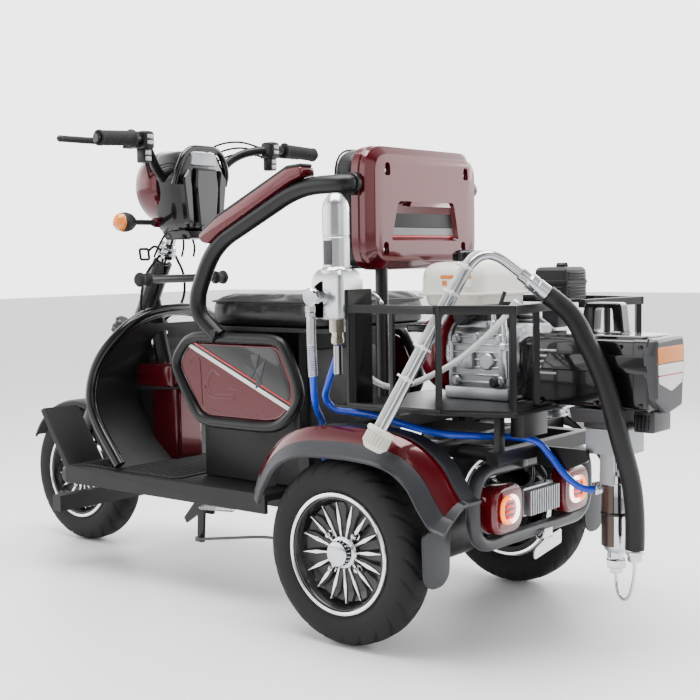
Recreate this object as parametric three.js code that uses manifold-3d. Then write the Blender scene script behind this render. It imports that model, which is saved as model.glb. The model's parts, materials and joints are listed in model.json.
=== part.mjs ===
// Ride-on line striping machine: an electric three-wheeler that carries a petrol-driven
// airless paint pump on its rear deck. Millimetres, +X forward, +Y left, +Z up.
// Every piece is drawn around the rear axle (x = 0, y = 0) and the ground (z = 0); the last
// lines move the whole machine so that its origin is the middle of its box on the ground.
import * as THREE from 'three';
import { mergeVertices } from 'three/addons/utils/BufferGeometryUtils.js';
import Module from 'manifold-3d';

const wasm = await Module();
wasm.setup();

// ---------------------------------------------------------------- driving dimensions
const GAP = 0.3; // air between pieces that touch

const WHEELBASE = 1178;
const TRACK = 607; // between the middles of the rear tyres
const TYRE_RADIUS = 185;
const TYRE_WIDTH = 84;
const RIM_SEAT_RADIUS = 111.5; // where the tyre bead sits
const AXLE_RADIUS = 8.5;
const WHEEL_FACETS = 20; // each wheel stands on one of its flats

const RAKE = THREE.MathUtils.degToRad(29); // steering axis, leaned back from upright
const COLLAR = new THREE.Vector3(WHEELBASE - 330, 0, 775); // top of the head tube, on the steering axis
const NOSE = COLLAR.x; // the front pieces are placed from the collar
const HEAD_RADIUS = 25;
const STEERER_RADIUS = 14;
const FORK_HALF_SPAN = TYRE_WIDTH / 2 + 24;
const BAR_RADIUS = 11;

const FLOOR_TOP = 257;
const FLOOR_THICK = 17;
const FLOOR_HALF = 250;
const FLOOR_REAR = 278;
const FLOOR_FRONT = WHEELBASE - 218;
const RAIL_Y = 150; // middle of each frame rail
const RAIL = 30; // square section of the frame rails
const REAR_RAIL_TOP = 392;

const SIDE_Y = 215; // plane of the side loop
const SIDE_TUBE = 12;
const ARM_Y = 230;
const ARM_TUBE = 19;

const SEAT_REAR = 145;
const SEAT_FRONT = 521;
const SEAT_HALF = 180;
const SEAT_LEDGE = 612;
const SEAT_TOP = 680;

const BACK_HALF = 198;
const BACK_LOW = 735;
const BACK_HIGH = 990;
const BACK_REAR = 20;
const BACK_SPLIT = 72; // between the hard shell and the soft pad
const BACK_FRONT = 128;
const POST_Y = 130;
const POST_RADIUS = 14;

const FENDER_IN = TRACK / 2 - 53.5;
const FENDER_OUT = TRACK / 2 + 49.5;

const DECK_TOP = 474;
const DECK_HALF = TRACK / 2 + 4.5; // the deck reaches over the tyres
const DECK_FRONT = 30;
const DECK_REAR = -353;
const CAGE_TOP = 671;
const CAGE_BAR = 16;

const CRANK_Y = 10; // engine crank line
const CRANK_Z = 566;
const TANK_LOW = 660;
const TANK_HIGH = 750;

const CASE_LEFT = 78;
const CASE_RIGHT = -45;
const CASE_LOW = 467;
const CASE_HIGH = 608;
const CASE_FRONT = -250;
const CASE_REAR = -527;

const PUMP_X = -428;
const PUMP_Y = 10;
const PUMP_TOP = 340;
const PUMP_RADIUS = 25;
const ROD_RADIUS = 9.5;

// ---------------------------------------------------------------- shape helpers
const vec = (x, y, z) => new THREE.Vector3(x, y, z);

function toSolid(geometry) {
  const bare = geometry.index ? geometry.toNonIndexed() : geometry.clone();
  bare.deleteAttribute('normal');
  bare.deleteAttribute('uv');
  const merged = mergeVertices(bare, 1e-4);
  return new wasm.Manifold(new wasm.Mesh({
    numProp: 3,
    vertProperties: new Float32Array(merged.attributes.position.array),
    triVerts: new Uint32Array(merged.index.array),
  }));
}

function toGeometry(solid) {
  const mesh = solid.getMesh();
  const geometry = new THREE.BufferGeometry();
  geometry.setAttribute('position', new THREE.BufferAttribute(mesh.vertProperties, 3));
  geometry.setIndex(new THREE.BufferAttribute(mesh.triVerts, 1));
  geometry.computeVertexNormals();
  return geometry;
}

function joined(...geometries) {
  return toGeometry(geometries.map(toSolid).reduce((whole, piece) => whole.add(piece)));
}

function carved(geometry, ...tools) {
  return toGeometry(tools.map(toSolid).reduce((whole, tool) => whole.subtract(tool), toSolid(geometry)));
}

function shared(first, second) {
  return toGeometry(toSolid(first).intersect(toSolid(second)));
}

function turnedOut(geometry) {
  // faces wound the other way round, for a mirrored mesh
  const index = geometry.index.array;
  for (let i = 0; i < index.length; i += 3) {
    [index[i], index[i + 1]] = [index[i + 1], index[i]];
  }
  return geometry;
}

function mirrored(geometry) {
  const bare = geometry.index ? geometry.toNonIndexed() : geometry.clone();
  bare.deleteAttribute('normal');
  bare.deleteAttribute('uv');
  const copy = mergeVertices(bare, 1e-4);
  copy.scale(1, -1, 1);
  return turnedOut(copy);
}

function sided(geometry, side) {
  return side > 0 ? geometry : mirrored(geometry);
}

function box(x0, x1, y0, y1, z0, z1) {
  const geometry = new THREE.BoxGeometry(x1 - x0, y1 - y0, z1 - z0);
  geometry.translate((x0 + x1) / 2, (y0 + y1) / 2, (z0 + z1) / 2);
  return geometry;
}

function aimed(geometry, axis, place) {
  geometry.applyQuaternion(new THREE.Quaternion().setFromUnitVectors(vec(0, 1, 0), axis));
  geometry.translate(place.x, place.y, place.z);
  return geometry;
}

function rod(from, to, radius, sides = 10) {
  const along = to.clone().sub(from);
  const geometry = new THREE.CylinderGeometry(radius, radius, along.length(), sides);
  return aimed(geometry, along.clone().normalize(), from.clone().add(to).multiplyScalar(0.5));
}

function turned(profile, place, axis, facets = 18, onFlat = false) {
  // profile: [radius, height along the axis]; on a flat, the radius is measured to the facets
  const stretch = onFlat ? 1 / Math.cos(Math.PI / facets) : 1;
  const points = profile.map(([radius, height]) => new THREE.Vector2(radius * stretch, height));
  let area = 0;
  points.forEach((point, i) => {
    const next = points[(i + 1) % points.length];
    area += point.x * next.y - next.x * point.y;
  });
  if (area < 0) points.reverse();
  const closed = points[0].x > 0 ? [...points, points[0]] : points;
  const geometry = new THREE.LatheGeometry(closed, facets);
  if (onFlat) geometry.rotateY(Math.PI / facets);
  return aimed(geometry, axis, place);
}

function circle(radius, sides) {
  const shape = new THREE.Shape();
  for (let i = 0; i < sides; i += 1) {
    const angle = (i / sides) * 2 * Math.PI;
    const point = [radius * Math.cos(angle), radius * Math.sin(angle)];
    if (i === 0) shape.moveTo(...point);
    else shape.lineTo(...point);
  }
  shape.closePath();
  return shape;
}

function bentPath(points, bend, closed = false) {
  // straight runs joined by arcs that start `bend` before each corner
  const path = new THREE.CurvePath();
  const count = points.length;
  const towards = (from, to) => {
    const reach = Math.min(bend, from.distanceTo(to) * 0.49);
    return from.clone().lerp(to, reach / from.distanceTo(to));
  };
  const first = closed ? 0 : 1;
  const last = closed ? count : count - 1;
  let start = closed ? towards(points[0], points[count - 1]) : points[0];
  for (let i = first; i < last; i += 1) {
    const corner = points[i];
    const before = towards(corner, points[(i + count - 1) % count]);
    const after = towards(corner, points[(i + 1) % count]);
    if (i > first || !closed) path.add(new THREE.LineCurve3(start, before));
    path.add(new THREE.QuadraticBezierCurve3(before, corner, after));
    start = after;
  }
  const finish = closed ? towards(points[0], points[count - 1]) : points[count - 1];
  path.add(new THREE.LineCurve3(start, finish));
  return path;
}

function tube(points, radius, sides = 8, steps = 24, bend = 60) {
  return new THREE.ExtrudeGeometry(circle(radius, sides), {
    steps,
    bevelEnabled: false,
    extrudePath: bentPath(points, bend),
  });
}

function hose(points, radius, steps, sides = 8) {
  return new THREE.ExtrudeGeometry(circle(radius, sides), {
    steps,
    bevelEnabled: false,
    extrudePath: new THREE.CatmullRomCurve3(points, false, 'centripetal'),
  });
}

function ring(points, radius, sides = 8, steps = 32, bend = 60) {
  return new THREE.TubeGeometry(bentPath(points, bend, true), steps, radius, sides, true);
}

function beam(from, to, width, height) {
  const along = to.clone().sub(from);
  const geometry = new THREE.BoxGeometry(along.length() + width, width, height);
  geometry.rotateZ(Math.atan2(along.y, along.x));
  const middle = from.clone().add(to).multiplyScalar(0.5);
  geometry.translate(middle.x, middle.y, middle.z);
  return geometry;
}

function inset(points, distance) {
  // moves each side of a convex outline inwards, whichever way it is wound
  const middle = points.reduce((sum, [u, v]) => [sum[0] + u, sum[1] + v], [0, 0]);
  const centre = middle.map((value) => value / points.length);
  const lines = points.map(([u, v], i) => {
    const [nextU, nextV] = points[(i + 1) % points.length];
    const length = Math.hypot(nextU - u, nextV - v);
    let normal = [-(nextV - v) / length, (nextU - u) / length];
    if (normal[0] * (centre[0] - u) + normal[1] * (centre[1] - v) < 0) {
      normal = normal.map((value) => -value);
    }
    return { normal, offset: normal[0] * u + normal[1] * v + distance };
  });
  return lines.map((line, i) => {
    const before = lines[(i + lines.length - 1) % lines.length];
    const cross = before.normal[0] * line.normal[1] - before.normal[1] * line.normal[0];
    return [
      (before.offset * line.normal[1] - line.offset * before.normal[1]) / cross,
      (before.normal[0] * line.offset - line.normal[0] * before.offset) / cross,
    ];
  });
}

function outline(points, radius = 0) {
  const shape = new THREE.Shape();
  const count = points.length;
  points.forEach((point, i) => {
    const corner = new THREE.Vector2(...point);
    const step = (other) => {
      const far = new THREE.Vector2(...other);
      const reach = Math.min(radius, corner.distanceTo(far) * 0.49);
      return corner.clone().lerp(far, reach / corner.distanceTo(far));
    };
    const before = step(points[(i + count - 1) % count]);
    const after = step(points[(i + 1) % count]);
    if (i === 0) shape.moveTo(before.x, before.y);
    else shape.lineTo(before.x, before.y);
    if (radius > 0) shape.quadraticCurveTo(corner.x, corner.y, after.x, after.y);
  });
  shape.closePath();
  return shape;
}

const PLANES = {
  xy: [vec(1, 0, 0), vec(0, 1, 0), vec(0, 0, 1)],
  yz: [vec(0, 1, 0), vec(0, 0, 1), vec(1, 0, 0)],
  xz: [vec(1, 0, 0), vec(0, 0, 1), vec(0, -1, 0)],
};

function slab(points, plane, from, to, radius = 0) {
  // an outline in the named plane, filled from one distance to another across it
  const geometry = new THREE.ExtrudeGeometry(outline(points, radius), {
    depth: to - from,
    bevelEnabled: false,
    curveSegments: 3,
  });
  geometry.translate(0, 0, plane === 'xz' ? -to : from);
  geometry.applyMatrix4(new THREE.Matrix4().makeBasis(...PLANES[plane]));
  return geometry;
}

function loft(sections) {
  // closed rings of points, the same number in each, skinned and capped with fans
  const count = sections[0].length;
  const positions = sections.flat().flatMap((point) => point.toArray());
  const faces = [];
  for (let s = 0; s + 1 < sections.length; s += 1) {
    for (let i = 0; i < count; i += 1) {
      const j = (i + 1) % count;
      const [a, b] = [s * count + i, s * count + j];
      faces.push([a, b, b + count], [a, b + count, a + count]);
    }
  }
  [0, sections.length - 1].forEach((s) => {
    const centre = positions.length / 3;
    const sum = sections[s].reduce((total, point) => total.add(point), vec(0, 0, 0));
    positions.push(...sum.divideScalar(count).toArray());
    for (let i = 0; i < count; i += 1) {
      const [a, b] = [s * count + i, s * count + ((i + 1) % count)];
      faces.push(s === 0 ? [b, a, centre] : [a, b, centre]);
    }
  });
  const geometry = new THREE.BufferGeometry();
  geometry.setAttribute('position', new THREE.Float32BufferAttribute(positions, 3));
  geometry.setIndex(faces.flat());
  let volume = 0;
  faces.forEach((face) => {
    const [a, b, c] = face.map((i) => vec(...positions.slice(i * 3, i * 3 + 3)));
    volume += a.dot(b.cross(c));
  });
  return volume < 0 ? turnedOut(geometry) : geometry;
}

// ---------------------------------------------------------------- scene graph
const machine = new THREE.Group();
const cords = new THREE.Group();
machine.add(cords);

function finish(colour, roughness, metalness = 0) {
  return new THREE.MeshStandardMaterial({ color: colour, roughness, metalness });
}

const BLACK_PAINT = [0x1b1b1d, 0.35, 0.2];
const BLACK_PLASTIC = [0x232426, 0.55];
const GLOSS_BLACK = [0x0c0c0d, 0.12];
const MAROON = [0x4a0812, 0.15];
const GREY_PLASTIC = [0x3a3b40, 0.45];
const RUBBER = [0x242424, 0.9];
const CHROME = [0xd8d8da, 0.12, 1];
const CAST = [0x8f9196, 0.4, 0.9];

function add(name, geometry, look, parent = machine) {
  const mesh = new THREE.Mesh(geometry, finish(...look));
  mesh.name = name;
  parent.add(mesh);
}

// ---------------------------------------------------------------- steering line
const STEER_UP = vec(-Math.sin(RAKE), 0, Math.cos(RAKE));
const STEER_FRONT = vec(Math.cos(RAKE), 0, Math.sin(RAKE));
const HEAD_LENGTH = 185;
const CROWN_TOP = -205;
const CROWN_LOW = -230;
const AXLE_DROP = (TYRE_RADIUS - COLLAR.z) / STEER_UP.z; // front axle, along the steering line

function onSteer(along, left = 0, front = 0) {
  const point = COLLAR.clone().addScaledVector(STEER_UP, along);
  return point.addScaledVector(STEER_FRONT, front).add(vec(0, left, 0));
}

const FRONT_AXLE = vec(WHEELBASE, 0, TYRE_RADIUS);
const axleTrail = FRONT_AXLE.clone().sub(onSteer(AXLE_DROP)).dot(vec(1, 0, 0));

// ---------------------------------------------------------------- wheels
const BEAD_HALF = TYRE_WIDTH / 2 - 9;
const BEAD_HIGH = RIM_SEAT_RADIUS + 11.5;

function tyre(place) {
  const half = TYRE_WIDTH / 2;
  const wall = TYRE_RADIUS - BEAD_HIGH;
  const profile = [
    [RIM_SEAT_RADIUS + 0.6, -BEAD_HALF],
    [BEAD_HIGH, -BEAD_HALF],
    [BEAD_HIGH + wall * 0.4, -half],
    [TYRE_RADIUS - 12, -half * 0.88],
    [TYRE_RADIUS, -half * 0.4],
    [TYRE_RADIUS, half * 0.4],
    [TYRE_RADIUS - 12, half * 0.88],
    [BEAD_HIGH + wall * 0.4, half],
    [BEAD_HIGH, BEAD_HALF],
    [RIM_SEAT_RADIUS + 0.6, BEAD_HALF],
  ];
  return turned(profile, place, vec(0, 1, 0), WHEEL_FACETS, true);
}

function rim(place, capped) {
  const lip = BEAD_HALF + 0.4;
  const bore = AXLE_RADIUS + 0.8;
  const web = 8;
  const hub = 31;
  const reach = 36;
  const barrel = RIM_SEAT_RADIUS - 7;
  const outer = [
    [hub, reach],
    [hub, web + 5],
    [barrel, web + 1],
    [barrel, lip + 5],
    [BEAD_HIGH - 1, lip + 5],
    [BEAD_HIGH - 1, lip],
    [RIM_SEAT_RADIUS, lip],
    [RIM_SEAT_RADIUS, -lip],
    [BEAD_HIGH - 1, -lip],
    [BEAD_HIGH - 1, -lip - 5],
    [barrel, -lip - 5],
    [barrel, -web - 1],
    [hub, -web - 5],
    [hub, -reach],
    [bore, -reach],
  ];
  const profile = capped ? [[0, 42], [26, 42], ...outer, [bore, 30], [0, 30]] : [...outer, [bore, reach]];
  return turned(profile, place, vec(0, 1, 0), WHEEL_FACETS, true);
}

[1, -1].forEach((side) => {
  const name = side > 0 ? 'left' : 'right';
  const place = vec(0, TRACK / 2, TYRE_RADIUS);
  add(`rear_tyre_${name}`, sided(tyre(place), side), RUBBER);
  add(`rear_rim_${name}`, sided(rim(place, true), side), CHROME);
});
add('front_tyre', tyre(FRONT_AXLE), RUBBER);
add('front_rim', rim(FRONT_AXLE, false), CHROME);

function rearAxle() {
  const at = (y) => vec(0, y, TYRE_RADIUS);
  const inner = TRACK / 2 - 36; // inner end of the wheel hub
  const drum = inner - 7;
  return joined(
    rod(at(-inner + 20), at(inner - 20), 26),
    rod(at(-70), at(70), 76, 20),
    rod(at(drum - 24), at(drum), 80, 20),
    rod(at(-drum), at(24 - drum), 80, 20),
    rod(at(-TRACK / 2 - 27), at(TRACK / 2 + 27), AXLE_RADIUS),
  );
}
add('rear_axle', rearAxle(), BLACK_PAINT);

const SHOCK_Y = 195; // middle of each spring bracket

// ---------------------------------------------------------------- frame
const PEDAL_SHAFT = vec(560, 0, 185);
const PEDAL_SHAFT_RADIUS = 9;
const OUTRIGGER_TOP = 428;
const BEAM_REAR = -285;
const BEAM_FRONT = -258;

const DOWN_TOP = vec(NOSE + 54, 0, 672);
const DOWN_LOW = vec(NOSE - 48, 0, FLOOR_TOP - FLOOR_THICK - 8);
const GRAB_X = NOSE - 63;
const GRAB_Z = 715;

function downTubeRoom() {
  const reach = DOWN_TOP.clone().sub(DOWN_LOW).normalize().multiplyScalar(60);
  return rod(DOWN_LOW.clone().sub(reach), DOWN_TOP.clone().add(reach), 24);
}

function frame() {
  const half = RAIL / 2;
  const railTop = FLOOR_TOP - FLOOR_THICK - GAP;
  const railLow = railTop - RAIL + 2;
  const rearLow = REAR_RAIL_TOP - RAIL + 4;
  const parts = [
    rod(onSteer(-20), onSteer(-HEAD_LENGTH), HEAD_RADIUS, 16),
    rod(DOWN_LOW, DOWN_TOP, 20),
    box(NOSE - 66, NOSE - 30, -RAIL_Y - half, RAIL_Y + half, railLow, railTop),
    box(FLOOR_FRONT - 30, FLOOR_FRONT, -290, 290, 149, 188),
    box(225, 255, -RAIL_Y - half, RAIL_Y + half, railLow, railTop),
    box(32, 60, -FENDER_IN + GAP, FENDER_IN - GAP, OUTRIGGER_TOP - 26, OUTRIGGER_TOP),
    box(-165, -145, -FENDER_IN + GAP, FENDER_IN - GAP, 378, 403),
    box(BEAM_REAR, BEAM_FRONT, -205, 205, rearLow, REAR_RAIL_TOP),
    box(0, 22, -200, 200, 440, DECK_TOP - 6 - GAP),
    // grab bar for a small passenger, on a bracket behind the head tube
    rod(vec(GRAB_X, -147, GRAB_Z), vec(GRAB_X, 147, GRAB_Z), 10.5),
    rod(vec(GRAB_X, 125, GRAB_Z), vec(GRAB_X, 147, GRAB_Z), 14),
    rod(vec(GRAB_X, -147, GRAB_Z), vec(GRAB_X, -125, GRAB_Z), 14),
    box(GRAB_X, NOSE + 14, -9, 9, GRAB_Z - 9, GRAB_Z + 9),
  ];
  [1, -1].forEach((side) => {
    const [low, high] = [side * RAIL_Y - half, side * RAIL_Y + half];
    const lug = side * (RAIL_Y - 6);
    const stay = side * 190;
    const spring = side * SHOCK_Y;
    parts.push(
      box(225, FLOOR_FRONT - 5, low, high, railLow, railTop),
      box(FLOOR_FRONT - 28, FLOOR_FRONT - 8, low, high, 180, railTop - 5),
      box(225, 255, low, high, railLow, REAR_RAIL_TOP),
      box(BEAM_REAR, 255, low, high, rearLow, REAR_RAIL_TOP),
      box(36, 56, low, high, REAR_RAIL_TOP - 2, OUTRIGGER_TOP - 24),
      box(0, 22, low, high, REAR_RAIL_TOP - 2, 442),
      box(BEAM_REAR, BEAM_REAR + 14, stay - 8, stay + 8, REAR_RAIL_TOP - 2, DECK_TOP - 6 - GAP),
      box(-12, 12, spring - 34, spring + 34, rearLow, REAR_RAIL_TOP),
      box(PEDAL_SHAFT.x - 15, PEDAL_SHAFT.x + 15, lug - 5, lug + 5, PEDAL_SHAFT.z - 20, railLow + 2),
      rod(vec(46, side * POST_Y, OUTRIGGER_TOP - 10), vec(46, side * POST_Y, 850), POST_RADIUS),
    );
  });
  const bore = rod(onSteer(0), onSteer(-HEAD_LENGTH - 15), STEERER_RADIUS + 3, 16);
  const [shaftRight, shaftLeft] = [-220, 220].map((y) => PEDAL_SHAFT.clone().setY(y));
  const shaft = rod(shaftRight, shaftLeft, PEDAL_SHAFT_RADIUS + 1, 12);
  return carved(joined(...parts), bore, shaft);
}
add('frame', frame(), BLACK_PAINT);

function brakePedal() {
  // cross shaft under the floor, foot pedal on the right, bell crank on the left
  const { x, z } = PEDAL_SHAFT;
  const arm = [[x - 12, z - 6], [x + 8, z - 12], [x + 108, z + 32], [x + 152, z + 112], [x + 138, z + 116],
    [x + 94, z + 46], [x - 4, z + 10]];
  const crank = [[x - 14, z + 12], [x + 14, z + 12], [x + 52, z - 30], [x + 44, z - 42], [x + 6, z - 18],
    [x + 8, z - 82], [x - 10, z - 82], [x - 16, z - 10]];
  return joined(
    rod(vec(x, -199, z), vec(x, 176, z), PEDAL_SHAFT_RADIUS),
    slab(arm, 'xz', -199, -192),
    slab(crank, 'xz', 169, 176),
    box(x + 122, x + 186, -226, -165, z + 110, z + 122),
  );
}
add('brake_pedal', brakePedal(), BLACK_PAINT);

// ---------------------------------------------------------------- floor and leg shield
const SHIELD_TUBE = 14;
const SHIELD_SIDE = [[NOSE - 74, FLOOR_TOP + SHIELD_TUBE], [NOSE + 12, 380], [NOSE + 32, 445],
  [NOSE + 14, 530], [NOSE - 28, 608], [NOSE - 42, 638]];
const SHIELD_HALF = [230, 235, 230, 212, 150, 72];

function shieldGuard() {
  const left = SHIELD_SIDE.map(([x, z], i) => vec(x, SHIELD_HALF[i], z));
  const right = left.map((p) => vec(p.x, -p.y, p.z)).reverse();
  return tube([...left, ...right], SHIELD_TUBE, 8, 30, 80);
}
add('shield_guard', shieldGuard(), BLACK_PAINT);

function floorboard() {
  const low = FLOOR_TOP - FLOOR_THICK;
  const skirtWall = 10;
  const skirt = low - 26;
  const plate = box(FLOOR_REAR, FLOOR_FRONT, -FLOOR_HALF, FLOOR_HALF, low, FLOOR_TOP);
  const sides = [1, -1].map((side) => {
    const outer = side * FLOOR_HALF;
    const inner = side * (FLOOR_HALF - skirtWall);
    return box(FLOOR_REAR, FLOOR_FRONT, Math.min(outer, inner), Math.max(outer, inner), skirt, low + 1);
  });
  const ramp = [[FLOOR_FRONT - 12, low], [FLOOR_FRONT + 6, FLOOR_TOP + 2], [FLOOR_FRONT + 92, 388],
    [FLOOR_FRONT + 80, 394], [FLOOR_FRONT - 14, FLOOR_TOP + 4], [FLOOR_FRONT - 24, low + 4]];
  const ramps = [[142, FLOOR_HALF], [-FLOOR_HALF, -142]].map(([from, to]) => slab(ramp, 'xz', from, to));
  const pedalSlot = box(596, 735, -206, -184, low - 30, FLOOR_TOP + 5);
  return carved(joined(plate, ...sides, ...ramps), pedalSlot, downTubeRoom());
}
add('floorboard', floorboard(), BLACK_PLASTIC);

function legShield() {
  // dished panel inside the guard, with a raised glove box along the middle
  const dish = [[NOSE - 58, FLOOR_TOP + GAP], [NOSE + 20, 318], [NOSE + 54, 400], [NOSE + 60, 470],
    [NOSE + 36, 555], [NOSE - 22, 612]];
  const back = dish.map(([x, z]) => [x + 5, z + 1]).reverse();
  back[back.length - 1][1] = FLOOR_TOP + GAP;
  const front = [[-214, FLOOR_TOP - 5], [214, FLOOR_TOP - 5], [219, 380], [213, 445], [192, 526], [132, 586],
    [96, 602], [-96, 602], [-132, 586], [-192, 526], [-213, 445], [-219, 380]];
  const panel = shared(slab([...dish, ...back], 'xz', -230, 230), slab(front, 'yz', NOSE - 148, NOSE + 152));
  const low = slab([[NOSE - 76, FLOOR_TOP + GAP], [NOSE + 18, FLOOR_TOP + GAP], [NOSE + 58, 400],
    [NOSE + 58, 450], [NOSE - 76, 450]], 'xz', -42, 42);
  const high = slab([[NOSE - 82, 440], [NOSE + 58, 430], [NOSE + 58, 470], [NOSE + 50, 500],
    [NOSE - 82, 500]], 'xz', -61, 61);
  return carved(joined(panel, low, high), downTubeRoom());
}
add('leg_shield', legShield(), BLACK_PLASTIC);

// ---------------------------------------------------------------- seat, side loops, backrest
const LOOP = [[571, 552], [534, 588], [268, 588], [246, 576], [204, 492], [206, 452], [256, 404], [300, 396],
  [482, 396], [516, 410], [580, 508], [582, 530]];
const ARM_BASE = [438, 600];

function seatBox() {
  const stub = (x, z, y) => [1, -1].map((side) => box(x - 12, x + 12, Math.min(side * 140, side * y),
    Math.max(side * 140, side * y), z - 9, z + 9));
  const panelBack = SIDE_Y - 7 - GAP;
  const loopSide = SIDE_Y - SIDE_TUBE - GAP;
  return joined(
    box(262, 560, -150, 150, FLOOR_TOP + GAP, 606),
    box(150, SEAT_FRONT + 2, -SEAT_HALF + 4, SEAT_HALF - 4, 600, SEAT_LEDGE - GAP),
    ...stub(300, 470, panelBack),
    ...stub(500, 470, panelBack),
    ...stub(ARM_BASE[0] + ARM_TUBE + 3, 587, loopSide),
    ...stub(320, 587, loopSide),
  );
}
add('seat_box', seatBox(), BLACK_PLASTIC);

const seatOutline = [[SEAT_REAR, -SEAT_HALF], [SEAT_FRONT, -SEAT_HALF], [SEAT_FRONT, SEAT_HALF],
  [SEAT_REAR, SEAT_HALF]];
add('seat_cushion', slab(seatOutline, 'xy', SEAT_LEDGE, SEAT_TOP, 50), [0x1c1b1e, 0.5]);

function sideFrame() {
  // closed loop round the side panel with the armrest tube standing on it
  const loop = ring(LOOP.map(([x, z]) => vec(x, SIDE_Y, z)), SIDE_TUBE, 8, 26, 40);
  const arm = tube([
    vec(ARM_BASE[0], SIDE_Y + ARM_TUBE - 15, ARM_BASE[1] - 8),
    vec(507, ARM_Y, 652),
    vec(436, ARM_Y, 792),
    vec(179, ARM_Y, 910),
    vec(60, ARM_Y, 911),
    vec(60, BACK_HALF + GAP, 911),
  ], ARM_TUBE, 8, 24, 60);
  return joined(loop, arm);
}

function sidePanel() {
  return slab(inset(LOOP, SIDE_TUBE + 4), 'xz', SIDE_Y - 7, SIDE_Y - 1, 14);
}

function armPad() {
  const rise = ARM_TUBE + 0.6;
  const line = [[452, 812], [404, 842], [196, 938], [160, 941]];
  const low = [[160, 941 - 9], [196, 931], [404, 833], [446, 806]];
  const cap = slab([...line.map(([x, z]) => [x, z + 6]), ...low], 'xz', ARM_Y - 21, ARM_Y + 21);
  const hollow = tube([vec(470, ARM_Y, 725), vec(436, ARM_Y, 792), vec(179, ARM_Y, 910), vec(60, ARM_Y, 911)],
    rise, 10, 30, 60);
  return carved(cap, hollow);
}

[1, -1].forEach((side) => {
  const name = side > 0 ? 'left' : 'right';
  add(`side_frame_${name}`, sided(sideFrame(), side), BLACK_PAINT);
  add(`side_panel_${name}`, sided(sidePanel(), side), MAROON);
  add(`arm_pad_${name}`, sided(armPad(), side), MAROON);
});

const backOutline = [[-BACK_HALF, BACK_LOW], [BACK_HALF, BACK_LOW], [BACK_HALF, BACK_HIGH],
  [-BACK_HALF, BACK_HIGH]];

function backrestShell() {
  const sockets = [1, -1].map((side) => rod(vec(46, side * POST_Y, BACK_LOW - 10),
    vec(46, side * POST_Y, 853), POST_RADIUS + 0.6));
  return carved(slab(backOutline, 'yz', BACK_REAR, BACK_SPLIT, 60), ...sockets);
}
add('backrest_shell', backrestShell(), MAROON);
add('backrest_pad', slab(inset(backOutline, 6), 'yz', BACK_SPLIT + GAP, BACK_FRONT, 60), [0x1c1b1e, 0.5]);

// ---------------------------------------------------------------- rear fenders and tail
const ARCH = [[198, 262], [180, 302], [148, 342], [100, 366], [30, 374], [-60, 374], [-130, 364], [-176, 336],
  [-206, 294], [-232, 264], [-262, 254]];

function rearFender() {
  const crown = FENDER_OUT - 47;
  const shoulder = FENDER_OUT - 8;
  const skin = [[FENDER_IN, 54], [crown, 54], [shoulder, 24], [FENDER_OUT, 0], [FENDER_OUT - 5, 0],
    [shoulder - 5, 21], [crown - 3, 48], [FENDER_IN, 48]];
  const sections = ARCH.map(([x, z], i) => {
    const [beforeX, beforeZ] = ARCH[Math.max(i - 1, 0)];
    const [afterX, afterZ] = ARCH[Math.min(i + 1, ARCH.length - 1)];
    const length = Math.hypot(afterX - beforeX, afterZ - beforeZ);
    const normal = [(afterZ - beforeZ) / length, -(afterX - beforeX) / length];
    return skin.map(([y, rise]) => vec(x + normal[0] * rise, y, z + normal[1] * rise));
  });
  return loft(sections);
}
[1, -1].forEach((side) => {
  add(`rear_fender_${side > 0 ? 'left' : 'right'}`, sided(rearFender(), side), GREY_PLASTIC);
});

const TAIL_X = -236;
const TAIL_HALF = 218;
const TAIL_LOW = 203;
const TAIL_HIGH = 349;
const TAIL_TUBE = 14;
const LAMP_Y = 133;
const LAMP_Z = 270;

function tailGuard() {
  const loop = [[-TAIL_HALF, TAIL_LOW], [TAIL_HALF, TAIL_LOW], [TAIL_HALF, TAIL_HIGH],
    [-TAIL_HALF, TAIL_HIGH]];
  const strap = (y) => box(-262, -240, y - 9, y + 9, TAIL_HIGH - 4, REAR_RAIL_TOP - RAIL + 4 - GAP);
  return joined(
    ring(loop.map(([y, z]) => vec(TAIL_X, y, z)), TAIL_TUBE, 8, 28, 62),
    box(-222, -216, -TAIL_HALF + 4, TAIL_HALF - 4, LAMP_Z - 14, LAMP_Z + 14),
    box(TAIL_X, -216, TAIL_HALF - 12, TAIL_HALF - 4, LAMP_Z - 14, LAMP_Z + 14),
    box(TAIL_X, -216, 4 - TAIL_HALF, 12 - TAIL_HALF, LAMP_Z - 14, LAMP_Z + 14),
    strap(70),
    strap(-70),
    box(-262, -258, -70, 30, 135, TAIL_LOW + 4),
    box(-260, TAIL_X, -40, 0, TAIL_LOW - 6, TAIL_LOW + 2),
  );
}
add('tail_guard', tailGuard(), GREY_PLASTIC);

function tailLamp() {
  const half = [52, 48];
  const face = [[LAMP_Y - half[0], LAMP_Z - half[1]], [LAMP_Y + half[0], LAMP_Z - half[1]],
    [LAMP_Y + half[0], LAMP_Z + half[1]], [LAMP_Y - half[0], LAMP_Z + half[1]]];
  return slab(face, 'yz', -264, -222 - GAP, 30);
}
[1, -1].forEach((side) => {
  add(`tail_lamp_${side > 0 ? 'left' : 'right'}`, sided(tailLamp(), side), [0x7a0b10, 0.1]);
});

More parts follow.
